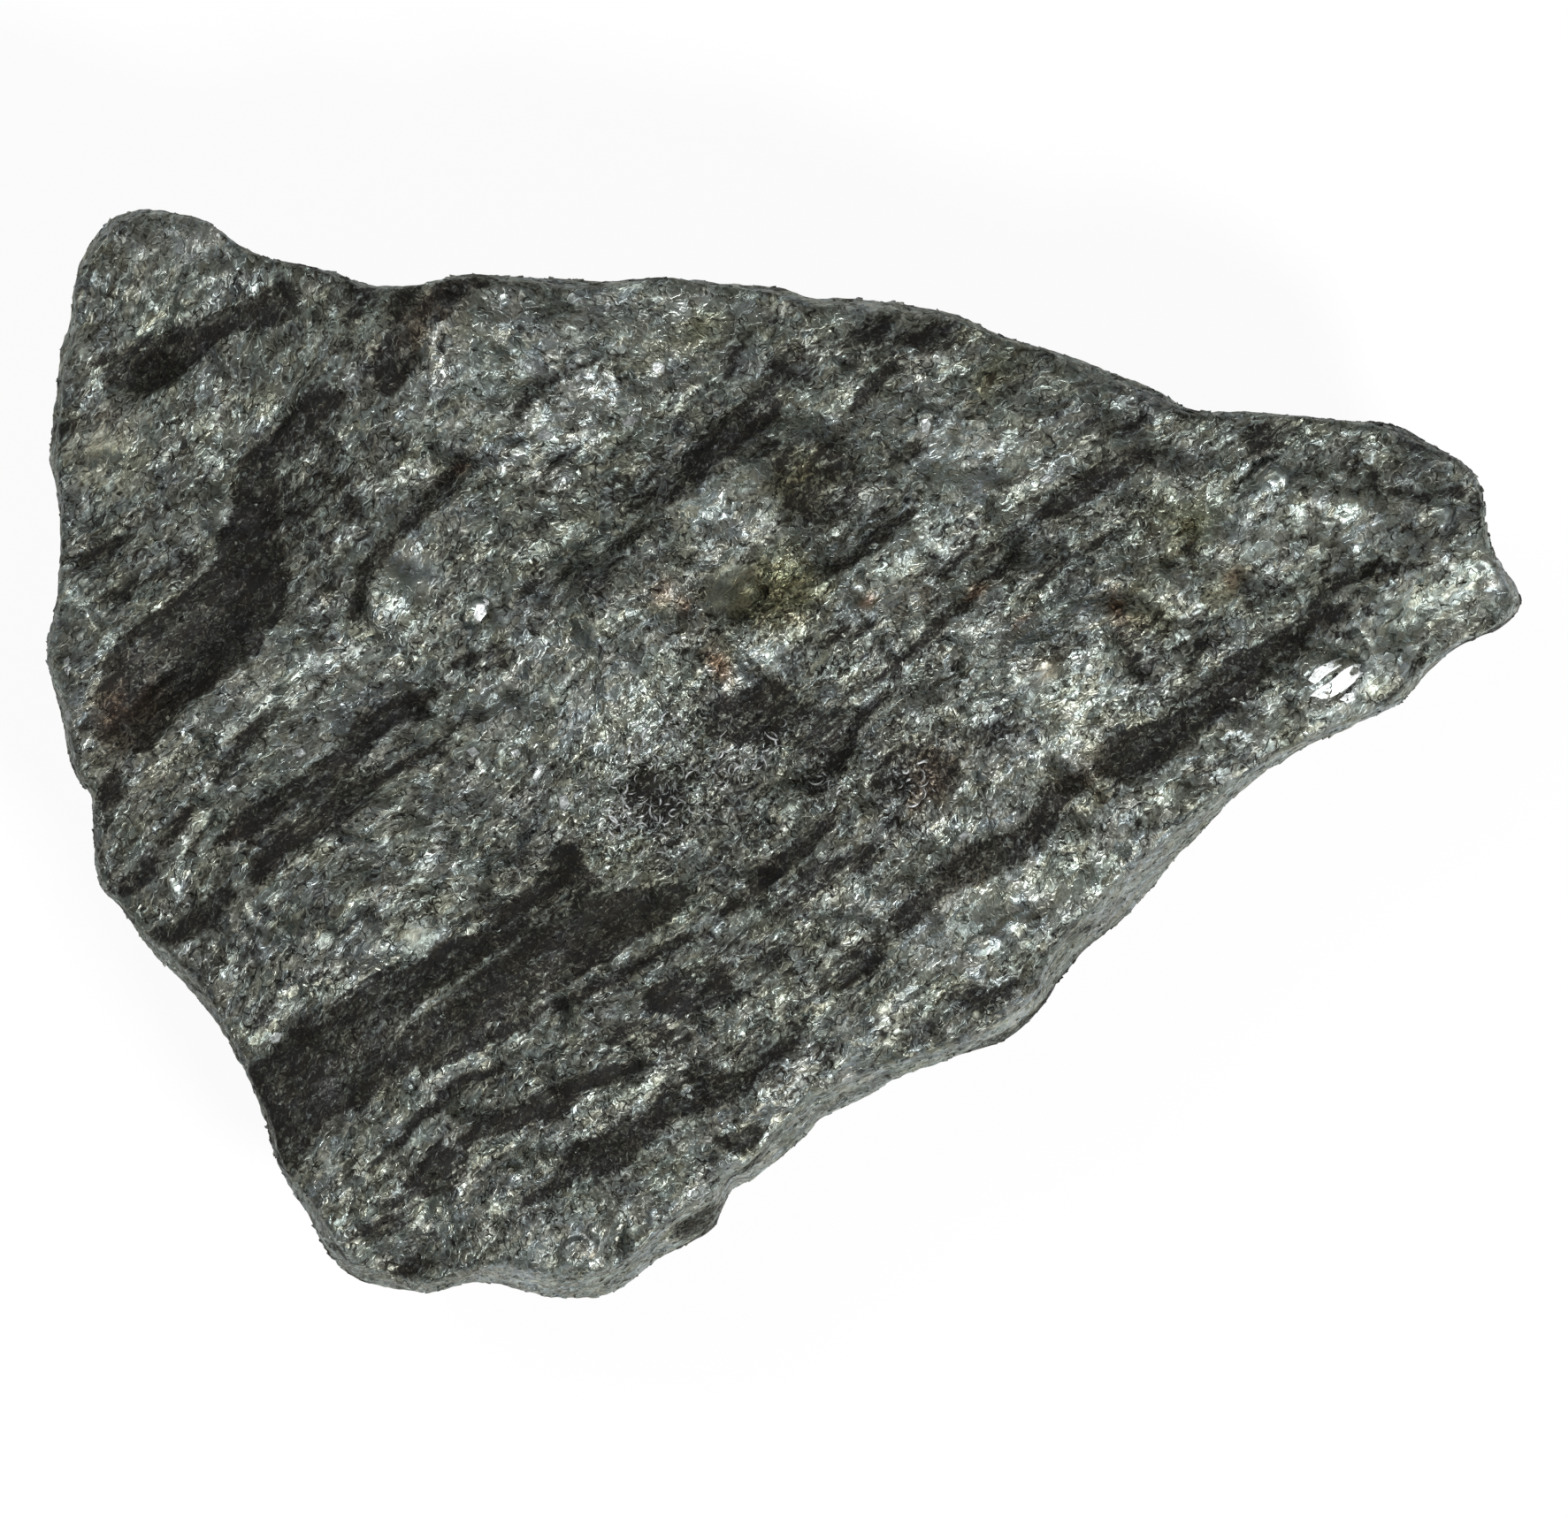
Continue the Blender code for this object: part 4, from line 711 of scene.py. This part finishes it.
def fine_mesh(name, source):
    """A copy of the solid's mesh with its corners merged and each edge cut into small pieces."""
    mesh = bmesh.new()
    mesh.from_mesh(source.data)
    bmesh.ops.remove_doubles(mesh, verts=mesh.verts, dist=1e-6)
    bmesh.ops.triangulate(mesh, faces=mesh.faces)
    bmesh.ops.subdivide_edges(mesh, edges=mesh.edges, cuts=CUTS, use_grid_fill=True)
    bmesh.ops.triangulate(mesh, faces=[face for face in mesh.faces if len(face.verts) > 3])
    for _ in range(SMOOTH_ROUNDS):
        bmesh.ops.smooth_vert(
            mesh, verts=mesh.verts, factor=0.5, use_axis_x=True, use_axis_y=True, use_axis_z=True,
        )
    mesh.normal_update()
    return data_from(mesh, name)


def data_from(mesh, name):
    """Mesh data from an edited mesh, which it frees."""
    data = bpy.data.meshes.new(name)
    mesh.to_mesh(data)
    mesh.free()
    return data


def unit(vectors):
    return vectors / np.linalg.norm(vectors, axis=1, keepdims=True)


class Surface:
    """The slab's visible surface, in place of the plain solid, and the ground for the small pieces."""

    def __init__(self, source, material):
        skin = fine_mesh("ore_surface", source)
        places, normals = (np.empty(len(skin.vertices) * 3, np.float32) for _ in range(2))
        skin.vertices.foreach_get("co", places)
        skin.vertices.foreach_get("normal", normals)
        places = places.reshape(-1, 3).astype(float) / METRES_PER_MM
        self.normals = normals.reshape(-1, 3).astype(float)
        values = surface_values(places, self.normals)
        self.corners = displaced(places, self.normals, values)
        skin.vertices.foreach_set("co", (self.corners * METRES_PER_MM).astype(np.float32).ravel())
        store_values(skin, values)
        skin.shade_smooth()
        skin.update()
        self.triangles = np.array([tuple(face.vertices) for face in skin.polygons])
        self.tree = BVHTree.FromPolygons(self.corners.tolist(), self.triangles.tolist())
        self.piece = add_piece(skin, material)

    def scatter(self, count, draw):
        """Random places, as many as asked for, and the way out of the surface at each."""
        first, second, third = (self.corners[self.triangles[:, i]] for i in range(3))
        area = np.linalg.norm(np.cross(second - first, third - first), axis=1)
        area[first[:, 2] < FLAKE_FREE] = 0.0
        picks = draw.choice(len(area), count, p=area / area.sum())
        shares = draw.dirichlet((1.0, 1.0, 1.0), count)[:, :, None]
        corners = self.triangles[picks]
        places = sum(shares[:, i] * self.corners[corners[:, i]] for i in range(3))
        outward = sum(shares[:, i] * self.normals[corners[:, i]] for i in range(3))
        return places, unit(outward)

    def below(self, x, y):
        """The place on the surface that shows there from above, or None beside the slab."""
        return self.tree.ray_cast(Vector((x, y, RAY_FROM)), -UP)[0]


def lie_on(outward, run):
    """Two directions at right angles on the surface, the first along the run."""
    first = unit(run - outward * (run * outward).sum(1, keepdims=True))
    return first, np.cross(outward, first)


def make_flakes(surface, material):
    """Small flat flakes that lean out of the surface and have its colours."""
    draw = np.random.default_rng(FLAKE_SEED)
    centres, outward = surface.scatter(FLAKE_COUNT, draw)
    first, second = lie_on(outward, flake_direction(centres))
    turn = draw.normal(0.0, FLAKE_TURN, FLAKE_COUNT)[:, None]
    run = first * np.cos(turn) + second * np.sin(turn)
    along, across = run_places(centres[:, 0], centres[:, 1])
    plates, plain = (spot_shares(along, across, spots)[:, None] for spots in (PLATES, PLAIN))
    bigger = 1.0 + FLAKE_BIGGER * plates * draw.random((FLAKE_COUNT, 1))
    bigger *= 1.0 - FLAKE_SMALLER * plain
    lean = draw.normal(0.0, FLAKE_TILT, (FLAKE_COUNT, 2)) / np.sqrt(np.maximum(bigger, 1.0))
    tilted = unit(outward + first * lean[:, :1] + second * lean[:, 1:])
    first, second = lie_on(tilted, run)
    half_length = draw.uniform(*FLAKE_HALF_LENGTH, (FLAKE_COUNT, 1)) * bigger
    half_width = draw.uniform(*FLAKE_HALF_WIDTH, (FLAKE_COUNT, 1)) * bigger
    root = FLAKE_ROOT + half_length * np.linalg.norm(lean, axis=1, keepdims=True)

    rings = np.empty((FLAKE_COUNT, 2, FLAKE_CORNERS, 3))
    for i in range(FLAKE_CORNERS):
        slip = draw.uniform(-FLAKE_SLIP, FLAKE_SLIP, (FLAKE_COUNT, 1))
        angle = 2.0 * math.pi * (i + slip) / FLAKE_CORNERS
        reach = draw.uniform(*FLAKE_REACH, (FLAKE_COUNT, 1))
        corner = first * half_length * np.cos(angle) * reach + second * half_width * np.sin(angle) * reach
        rings[:, 0, i] = centres + corner + tilted * FLAKE_LIFT
        rings[:, 1, i] = rings[:, 0, i] - outward * root
    around = np.roll(np.arange(FLAKE_CORNERS), -1)
    faces = []
    for upper, lower in np.arange(rings[..., 0].size).reshape(-1, 2, FLAKE_CORNERS):
        faces += [tuple(upper), tuple(lower[::-1])]
        faces += zip(upper, lower, lower[around], upper[around])

    mesh = bpy.data.meshes.new("loose_flakes")
    mesh.from_pydata((rings.reshape(-1, 3) * METRES_PER_MM).tolist(), [], faces)
    values = surface_values(rings[:, 0].reshape(-1, 3), np.repeat(outward, FLAKE_CORNERS, 0))
    values["tone"][:, 1] += np.repeat(draw.normal(0.0, FLAKE_SILVER, FLAKE_COUNT), FLAKE_CORNERS)
    shining = np.repeat(draw.random(FLAKE_COUNT) < FLAKE_SHINING, FLAKE_CORNERS)
    values["tone"][shining, 0] *= FLAKE_SHINE
    for name, layer in values.items():
        upper = layer.reshape(FLAKE_COUNT, 1, FLAKE_CORNERS, 3)
        values[name] = np.repeat(upper, 2, 1).reshape(-1, 3)
    store_values(mesh, values)
    return add_piece(mesh, material)


class Rings:
    """A mesh of closed pieces, each a row of rings of corners."""

    def __init__(self):
        self.mesh = bmesh.new()
        self.lightness = self.mesh.verts.layers.float.new("lightness")

    def ring(self, places, light):
        corners = [self.mesh.verts.new(place * METRES_PER_MM) for place in places]
        for corner in corners:
            corner[self.lightness] = light
        return corners

    def close(self, rings):
        self.mesh.faces.new(rings[0])
        self.mesh.faces.new(reversed(rings[-1]))
        for low, high in zip(rings, rings[1:]):
            for i in range(len(low)):
                self.mesh.faces.new((low[i - 1], high[i - 1], high[i], low[i]))

    def piece(self, name, material):
        bmesh.ops.recalc_face_normals(self.mesh, faces=self.mesh.faces)
        return add_piece(data_from(self.mesh, name), material)


def make_curls(surface, material):
    """Thin curled threads of ore that stand up from the surface."""
    draw = np.random.default_rng(CURL_SEED)
    centres, outward = surface.scatter(CURL_TRIES, draw)
    along, across = run_places(centres[:, 0], centres[:, 1])
    chance = np.clip(spot_values(along, across, CURLY) - CURL_FROM, 0.0, 1.0) * (outward[:, 2] > CURL_UP)
    chosen = np.flatnonzero(draw.random(CURL_TRIES) < chance)
    curls = Rings()
    for x, y in centres[chosen, :2]:
        light = draw.uniform(*CURL_LIGHT)
        step_length = draw.uniform(*CURL_LENGTH) / CURL_STEPS
        bend = draw.choice((-1.0, 1.0)) / draw.uniform(*CURL_RADIUS)
        heading = draw.uniform(0.0, 2.0 * math.pi)
        widest = draw.uniform(*CURL_HALF_WIDTH)
        rings = []
        for step in range(CURL_STEPS + 1):
            swell = math.sin(math.pi * step / CURL_STEPS)
            half_width = widest * (CURL_ENDS + (1.0 - CURL_ENDS) * swell)
            side = Vector((-math.sin(heading), math.cos(heading), 0.0)) * half_width
            ground = surface.below(x, y)
            if ground is None:
                break
            crest = Vector((x, y, ground.z + CURL_HEIGHT * (CURL_FOOT + swell)))
            drop = UP * CURL_DROP
            rings.append(curls.ring((crest - side - drop, crest, crest + side - drop), light))
            x += step_length * math.cos(heading)
            y += step_length * math.sin(heading)
            heading += bend * step_length
        if len(rings) > 2:
            curls.close(rings)
    return curls.piece("curled_flakes", material)


def make_glints(surface, material):
    """Thin closed flakes that lie on the surface."""
    glints = Rings()
    for light, outline in GLINTS:
        outline = photo_point(outline)
        middle = outline.mean(0)
        rings = []
        for share, lift in GLINT_RINGS:
            around = middle + (outline - middle) * share
            rings.append(glints.ring([surface.below(x, y) + UP * lift for x, y in around], light))
        glints.close(rings)
    return glints.piece("bright_flakes", material)


class Shader:
    """Short names for adding nodes to one material."""

    def __init__(self, name):
        self.material = bpy.data.materials.new(name)
        self.material.use_nodes = True
        self.nodes = self.material.node_tree.nodes
        self.links = self.material.node_tree.links

    def feed(self, socket, value):
        if isinstance(value, bpy.types.NodeSocket):
            self.links.new(value, socket)
        else:
            socket.default_value = value

    def add(self, kind, inputs=None, **settings):
        node = self.nodes.new(kind)
        for name, value in settings.items():
            setattr(node, name, value)
        for name, value in (inputs or {}).items():
            self.feed(node.inputs[name], value)
        return node

    def finish(self, inputs):
        """Feeds the material's surface, by the names of its inputs."""
        for name, value in inputs.items():
            self.feed(self.nodes["Principled BSDF"].inputs[name], value)
        return self.material

    def maths(self, operation, *values):
        return self.add("ShaderNodeMath", dict(enumerate(values)), operation=operation).outputs[0]

    def times(self, first, second):
        return self.maths("MULTIPLY", first, second)

    def total(self, base, parts):
        """The base with a share of each part added."""
        for part, share in parts:
            base = self.maths("MULTIPLY_ADD", part, share, base)
        return base

    def swing(self, base, parts, middle=0.5):
        """The base moved up where a part is over its middle, and down where it is under it."""
        return self.total(base, [(self.maths("SUBTRACT", part, middle), share) for part, share in parts])

    def rise(self, value, low, high, start=0.0, end=1.0):
        """start below low, end above high, and a smooth change between them."""
        inputs = {0: value, 1: low, 2: high, 3: start, 4: end}
        return self.add("ShaderNodeMapRange", inputs, interpolation_type="SMOOTHSTEP").outputs[0]

    def vector(self, operation, first, second):
        key = 3 if operation == "SCALE" else 1
        return self.add("ShaderNodeVectorMath", {0: first, key: second}, operation=operation).outputs[0]

    def moved(self, places, way, share):
        """The places moved along the way by a share of it."""
        return self.vector("ADD", places, self.vector("SCALE", way, share))

    def stored(self, name, output="Vector"):
        return self.add("ShaderNodeAttribute", attribute_name=name).outputs[output]

    def split(self, name):
        return self.add("ShaderNodeSeparateXYZ", {0: self.stored(name)}).outputs

    def noise(self, places, scale, detail=0.0, roughness=0.5, output="Fac"):
        inputs = {"Vector": places, "Scale": scale, "Detail": detail, "Roughness": roughness}
        return self.add("ShaderNodeTexNoise", inputs).outputs[output]

    def drawn_noise(self, places, stretch, *settings):
        return self.noise(self.vector("MULTIPLY", places, stretch), *settings)

    def threads(self, places, scale, seed, thickness):
        """Thin curly lines, 1 on the line and 0 beside it, broken up into short lengths."""
        places = self.vector("ADD", places, (seed, seed * 0.7, seed * 0.3))
        gap = self.maths("ABSOLUTE", self.maths("SUBTRACT", self.noise(places, scale), 0.5))
        broken = self.rise(self.noise(places, scale * 0.8), 0.38, 0.62)
        return self.times(self.rise(gap, 0.0, thickness, 1.0, 0.0), broken)

    def cells(self, places, scale):
        """For each cell of a broken-up pattern, its tone and hue at random, its lean, and its far corners."""
        node = self.add("ShaderNodeTexVoronoi", {"Vector": places, "Scale": scale})
        tone, hue = self.add("ShaderNodeSeparateColor", {0: node.outputs["Color"]}).outputs[:2]
        lean = self.vector("SUBTRACT", node.outputs["Color"], (0.5, 0.5, 0.5))
        return tone, hue, lean, node.outputs["Distance"]

    def blend(self, share, first, second, kind="MIX"):
        node = self.add("ShaderNodeMix", data_type="RGBA", blend_type=kind, clamp_factor=True)
        for socket, value in ((0, share), (6, first), (7, second)):
            self.feed(node.inputs[socket], value)
        return node.outputs[2]

    def ramp(self, value, stops):
        node = self.add("ShaderNodeValToRGB", {0: value})
        points = node.color_ramp.elements
        while len(points) < len(stops):
            points.new(0.5)
        for point, (place, colour) in zip(points, stops):
            point.position = place
            point.color = colour
        return node.outputs[0]

    def bump(self, leaning, relief, depth):
        """The way that the surface faces, from the way that it leans and a relief in millimetres."""
        leaning = self.add("ShaderNodeVectorMath", {0: leaning}, operation="NORMALIZE").outputs[0]
        inputs = {"Strength": 1.0, "Distance": depth * METRES_PER_MM, "Height": relief, "Normal": leaning}
        return self.add("ShaderNodeBump", inputs).outputs[0]

    def facing(self):
        return self.add("ShaderNodeNewGeometry").outputs["Normal"]


def grey(value, red=0.0, blue=0.0):
    return (value * (1.0 + red), value, value * (1.0 + blue), 1.0)


def ore_material():
    """Curly silver flakes on a dark ground, matte brown-black bands, and stains."""
    shader = Shader("ore_flakes")
    rise, times, total, swing, noise = shader.rise, shader.times, shader.total, shader.swing, shader.noise
    flow, fleck = shader.stored("flow"), shader.stored("fleck")
    dark, silver, brow_and_painted_light = shader.split("tone")
    plates, plain, curly = shader.split("habit")
    rust, olive, dust = shader.split("stain")
    very_curly = rise(curly, 0.0, 1.0, 0.4, 1.2)
    flat = rise(plain, 0.2, 0.8, 0.0, 0.7)
    rough_share = shader.maths("SUBTRACT", 1.0, flat)

    # places that are bent, and then drawn out along the flakes
    curl = shader.vector("SUBTRACT", noise(fleck, 1.8, 1.0, output="Color"), (0.5, 0.5, 0.5))
    curled = shader.moved(fleck, curl, 0.6)
    leaned = shader.moved(fleck, curl, 0.9)
    drawn = shader.vector("MULTIPLY", curled, (0.42, 1.0, 0.8))

    # bright threads and hairs, painted highlights, and dark creases, painted shade; the bump also raises the
    # threads and sinks the creases
    curly_threads = times(shader.threads(curled, 2.8, 31.0, 0.10), very_curly)
    threads = shader.maths("MAXIMUM", shader.threads(drawn, 3.0, 0.0, 0.12), curly_threads)
    threads = times(times(threads, rise(plates, 0.0, 1.0, 1.0, 0.7)), rise(dark, 0.3, 1.0, 1.0, 0.5))
    painted_highlight_hairs = times(shader.threads(leaned, 3.9, 17.0, 0.13), very_curly)
    creases_and_painted_shade = shader.threads(curled, 1.9, 73.0, 0.055)

    # flakes, small flakes and plates, with painted light that differs from plate to plate, and noise from
    # fine to coarse
    flake_tone, flake_hue, flake_lean, flake_rim = shader.cells(drawn, 2.6)
    small_tone, _, small_lean, _ = shader.cells(shader.vector("MULTIPLY", curled, (0.6, 1.0, 0.8)), 4.4)
    plate_painted_light, _, plate_lean, _ = shader.cells(leaned, 1.15)
    # light specks that the dark bands get, painted glints
    painted_glint_specks = rise(noise(curled, 6.5, 1.0, 0.6), 0.54, 0.70)
    fine = noise(curled, 5.2, 1.0)
    folds = shader.drawn_noise(curled, (0.35, 1.0, 1.0), 1.5, 1.0)
    mottle = shader.drawn_noise(flow, (0.28, 1.4, 1.0), 1.5, 3.0, 0.65)
    streaks = shader.drawn_noise(flow, (0.18, 1.5, 1.0), 1.0, 2.0, 0.6)
    patches = noise(flow, 0.45, 2.0, 0.6)
    dark = rise(swing(dark, [(mottle, 2.0)]), 0.10, 0.85)

    # how light the ore is painted: painted light on the brow, from plate to plate and in some bright spots,
    # painted highlights on the threads and hairs, painted glints in the bands and painted shade in the
    # creases
    by_plate_painted_light = swing(silver, [(plate_painted_light, 0.8)])
    tone = total(0.327, [
        (silver, 0.08), (rise(by_plate_painted_light, 0.30, 0.55), 0.09), (rise(by_plate_painted_light, -0.55, -0.30, -1.0, 0.0), 0.06),
        (brow_and_painted_light, 0.15), (threads, 0.27), (painted_highlight_hairs, 0.22), (creases_and_painted_shade, -0.28),
    ])
    tone = swing(tone, [
        (flake_tone, 0.08), (small_tone, rise(curly, 0.0, 1.0, 0.14, 0.30)),
        (fine, rise(curly, 0.0, 1.0, 0.40, 0.75)), (patches, 0.12), (streaks, 0.28), (folds, 0.24),
    ])
    tone = swing(tone, [(plate_painted_light, times(plates, 0.22))], 0.42)
    flat_tone = total(0.42, [(silver, 0.08)])
    tone = total(tone, [(shader.maths("SUBTRACT", flat_tone, tone), flat)])
    tone = total(tone, [(times(rise(flake_rim, 0.60, 0.80), plates), -0.20)])
    lit = total(tone, [(dark, -0.335), (times(painted_glint_specks, dark), 0.22)])

    # its colour
    colour = shader.ramp(lit, [
        (0.0, grey(0.010, 0.05, -0.12)), (0.2, grey(0.034, 0.0, -0.15)), (0.45, grey(0.130, -0.07, -0.13)),
        (0.65, grey(0.24, -0.075, -0.08)), (1.0, grey(0.42, -0.065, -0.06)),
    ])
    cast = shader.blend(rise(patches, 0.3, 0.7), (1.0, 1.0, 1.05, 1.0), (0.98, 1.0, 0.94, 1.0))
    flake_cast = shader.blend(flake_hue, (0.94, 1.0, 1.08, 1.0), (1.06, 1.0, 0.93, 1.0))
    rusty = times(rust, rise(patches, 0.35, 0.6))
    dusty = times(dust, rise(fine, 0.35, 0.65))
    for share, tint, kind in (
        (1.0, cast, "MULTIPLY"), (1.0, flake_cast, "MULTIPLY"),
        (times(olive, 0.75), (0.95, 0.86, 0.52, 1.0), "MULTIPLY"),
        (times(rusty, 0.8), (1.1, 0.58, 0.42, 1.0), "MULTIPLY"),
        (times(dusty, 0.55), (0.30, 0.27, 0.20, 1.0), "MIX"),
    ):
        colour = shader.blend(share, colour, tint, kind)

    # its shine, the lean of each flake, and the relief that is too fine for the mesh
    spoiled = shader.maths("MAXIMUM", times(dark, 0.8), times(dusty, 0.7))
    spoiled = shader.maths("MAXIMUM", spoiled, brow_and_painted_light)
    rough = total(rise(tone, 0.2, 0.8, 0.54, 0.38), [(dark, 0.16), (brow_and_painted_light, 0.20), (plates, 0.10)])
    flake_share = times(total(rise(dark, 0.0, 1.0, 0.28, 0.18), [(brow_and_painted_light, 0.35)]), rough_share)
    leaning = shader.moved(shader.facing(), shader.moved(flake_lean, small_lean, very_curly), flake_share)
    leaning = shader.moved(leaning, plate_lean, times(plates, 0.36))
    relief = total(times(fine, rise(curly, 0.0, 1.0, 0.45, 1.1)), [(threads, 0.6), (creases_and_painted_shade, -0.4)])
    return shader.finish({
        "Base Color": colour, "Metallic": rise(spoiled, 0.0, 1.0, 0.9, 0.65), "Roughness": rough,
        "Specular IOR Level": 0.2, "Normal": shader.bump(leaning, times(relief, rough_share), 0.045),
    })


def glint_material():
    """White metal with fine dark lines along the grain."""
    shader = Shader("bright_flake")
    places = shader.add("ShaderNodeTexCoord").outputs["Object"]
    turn = {"Vector": places, "Angle": -MAIN_GRAIN}
    turned = shader.add("ShaderNodeVectorRotate", turn, rotation_type="Z_AXIS").outputs[0]
    lines = shader.drawn_noise(turned, (0.25, 1.0, 1.0), 5000.0, 2.0, 0.6)
    tone = shader.rise(shader.stored("lightness", "Fac"), 0.1, 1.0, 0.2, 0.75)
    tone = shader.swing(tone, [(lines, 0.9), (shader.noise(places, 6000.0, 1.0, 0.6), 0.5)])
    colour = shader.ramp(tone, [
        (0.0, grey(0.04, -0.05, -0.1)), (0.35, grey(0.25, -0.06, -0.02)), (0.7, grey(0.7, -0.04, 0.0)),
        (1.0, grey(0.95)),
    ])
    leaning = shader.vector("ADD", shader.facing(), (0.05, -0.06, 0.0))
    return shader.finish({
        "Base Color": colour, "Metallic": 0.65, "Roughness": 0.5, "Normal": shader.bump(leaning, lines, 0.04),
    })


# the light, the floor and the camera, in metres
LENS = 300.0  # millimetres, on a sensor 36 mm wide
SENSOR = 36.0
CLIP = (0.01, 20.0)
FLOOR_HALF = 6.0
FLOOR_DROP = 0.0001
FLOOR_GLOW = 0.925
SKY_SEEN = 0.975
SKY_LIGHT = 0.22
WHITE = (1.0, 1.0, 1.0, 1.0)
# each light's name, place, size and watts
LIGHTS = (("key", (0.34, -0.40, 0.46), 0.14, 7.5), ("fill", (-0.40, 0.30, 0.50), 0.40, 3.6))


def make_floor():
    """A pale table that the light hardly shades."""
    mesh = bpy.data.meshes.new("floor")
    corners = [(-1, -1), (1, -1), (1, 1), (-1, 1)]
    mesh.from_pydata([(x * FLOOR_HALF, y * FLOOR_HALF, -FLOOR_DROP) for x, y in corners], [], [(0, 1, 2, 3)])
    floor = add_piece(mesh, Shader("pale_table").finish({
        "Base Color": grey(0.05), "Roughness": 1.0, "Specular IOR Level": 0.0,
        "Emission Color": WHITE, "Emission Strength": FLOOR_GLOW,
    }))


def add_light(name, place, size, watts):
    """A square soft box that faces the slab."""
    data = bpy.data.lights.new(name, "AREA")
    data.shape = "SQUARE"
    data.size = size
    data.energy = watts
    light = bpy.data.objects.new(name, data)
    light.location = place
    light.rotation_euler = (-Vector(place)).to_track_quat("-Z", "Y").to_euler()
    bpy.context.scene.collection.objects.link(light)


def make_world():
    """Pale behind the slab, and dimmer where it lights it, so that the flakes keep their contrast."""
    world = bpy.data.worlds.new("studio")
    world.use_nodes = True
    nodes, links = world.node_tree.nodes, world.node_tree.links
    mix = nodes.new("ShaderNodeMixShader")
    skies = ((nodes.new("ShaderNodeBackground"), SKY_LIGHT), (nodes["Background"], SKY_SEEN))
    for slot, (sky, strength) in enumerate(skies, 1):
        sky.inputs["Color"].default_value = WHITE
        sky.inputs["Strength"].default_value = strength
        links.new(sky.outputs[0], mix.inputs[slot])
    links.new(nodes.new("ShaderNodeLightPath").outputs["Is Camera Ray"], mix.inputs[0])
    links.new(mix.outputs[0], nodes["World Output"].inputs[0])
    bpy.context.scene.world = world


def make_camera():
    """Straight down over the middle of the photograph, far enough off to see hardly any of the side."""
    data = bpy.data.cameras.new("camera")
    data.lens = LENS
    data.sensor_width = SENSOR
    data.clip_start, data.clip_end = CLIP
    camera = bpy.data.objects.new("camera", data)
    middle = photo_point((PHOTO_SIZE[0] / 2.0, PHOTO_SIZE[1] / 2.0))
    away = LENS * PHOTO_SIZE[0] * MM_PER_PIXEL / SENSOR
    camera.location = Vector((middle[0], middle[1], OUTLINE_HEIGHT + away)) * METRES_PER_MM
    bpy.context.scene.collection.objects.link(camera)
    bpy.context.scene.camera = camera


bpy.context.scene.view_settings.view_transform = "Standard"
make_camera()
make_floor()
make_world()
for light in LIGHTS:
    add_light(*light)

ore = ore_material()
bright = glint_material()
ground = Surface(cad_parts[NODE], ore)
surface = ground.piece
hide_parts(NODE)
loose_flakes = make_flakes(ground, ore)
curled_flakes = make_curls(ground, bright)
bright_flakes = make_glints(ground, bright)
for piece in (surface, loose_flakes, curled_flakes, bright_flakes):
    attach(piece, BODY)
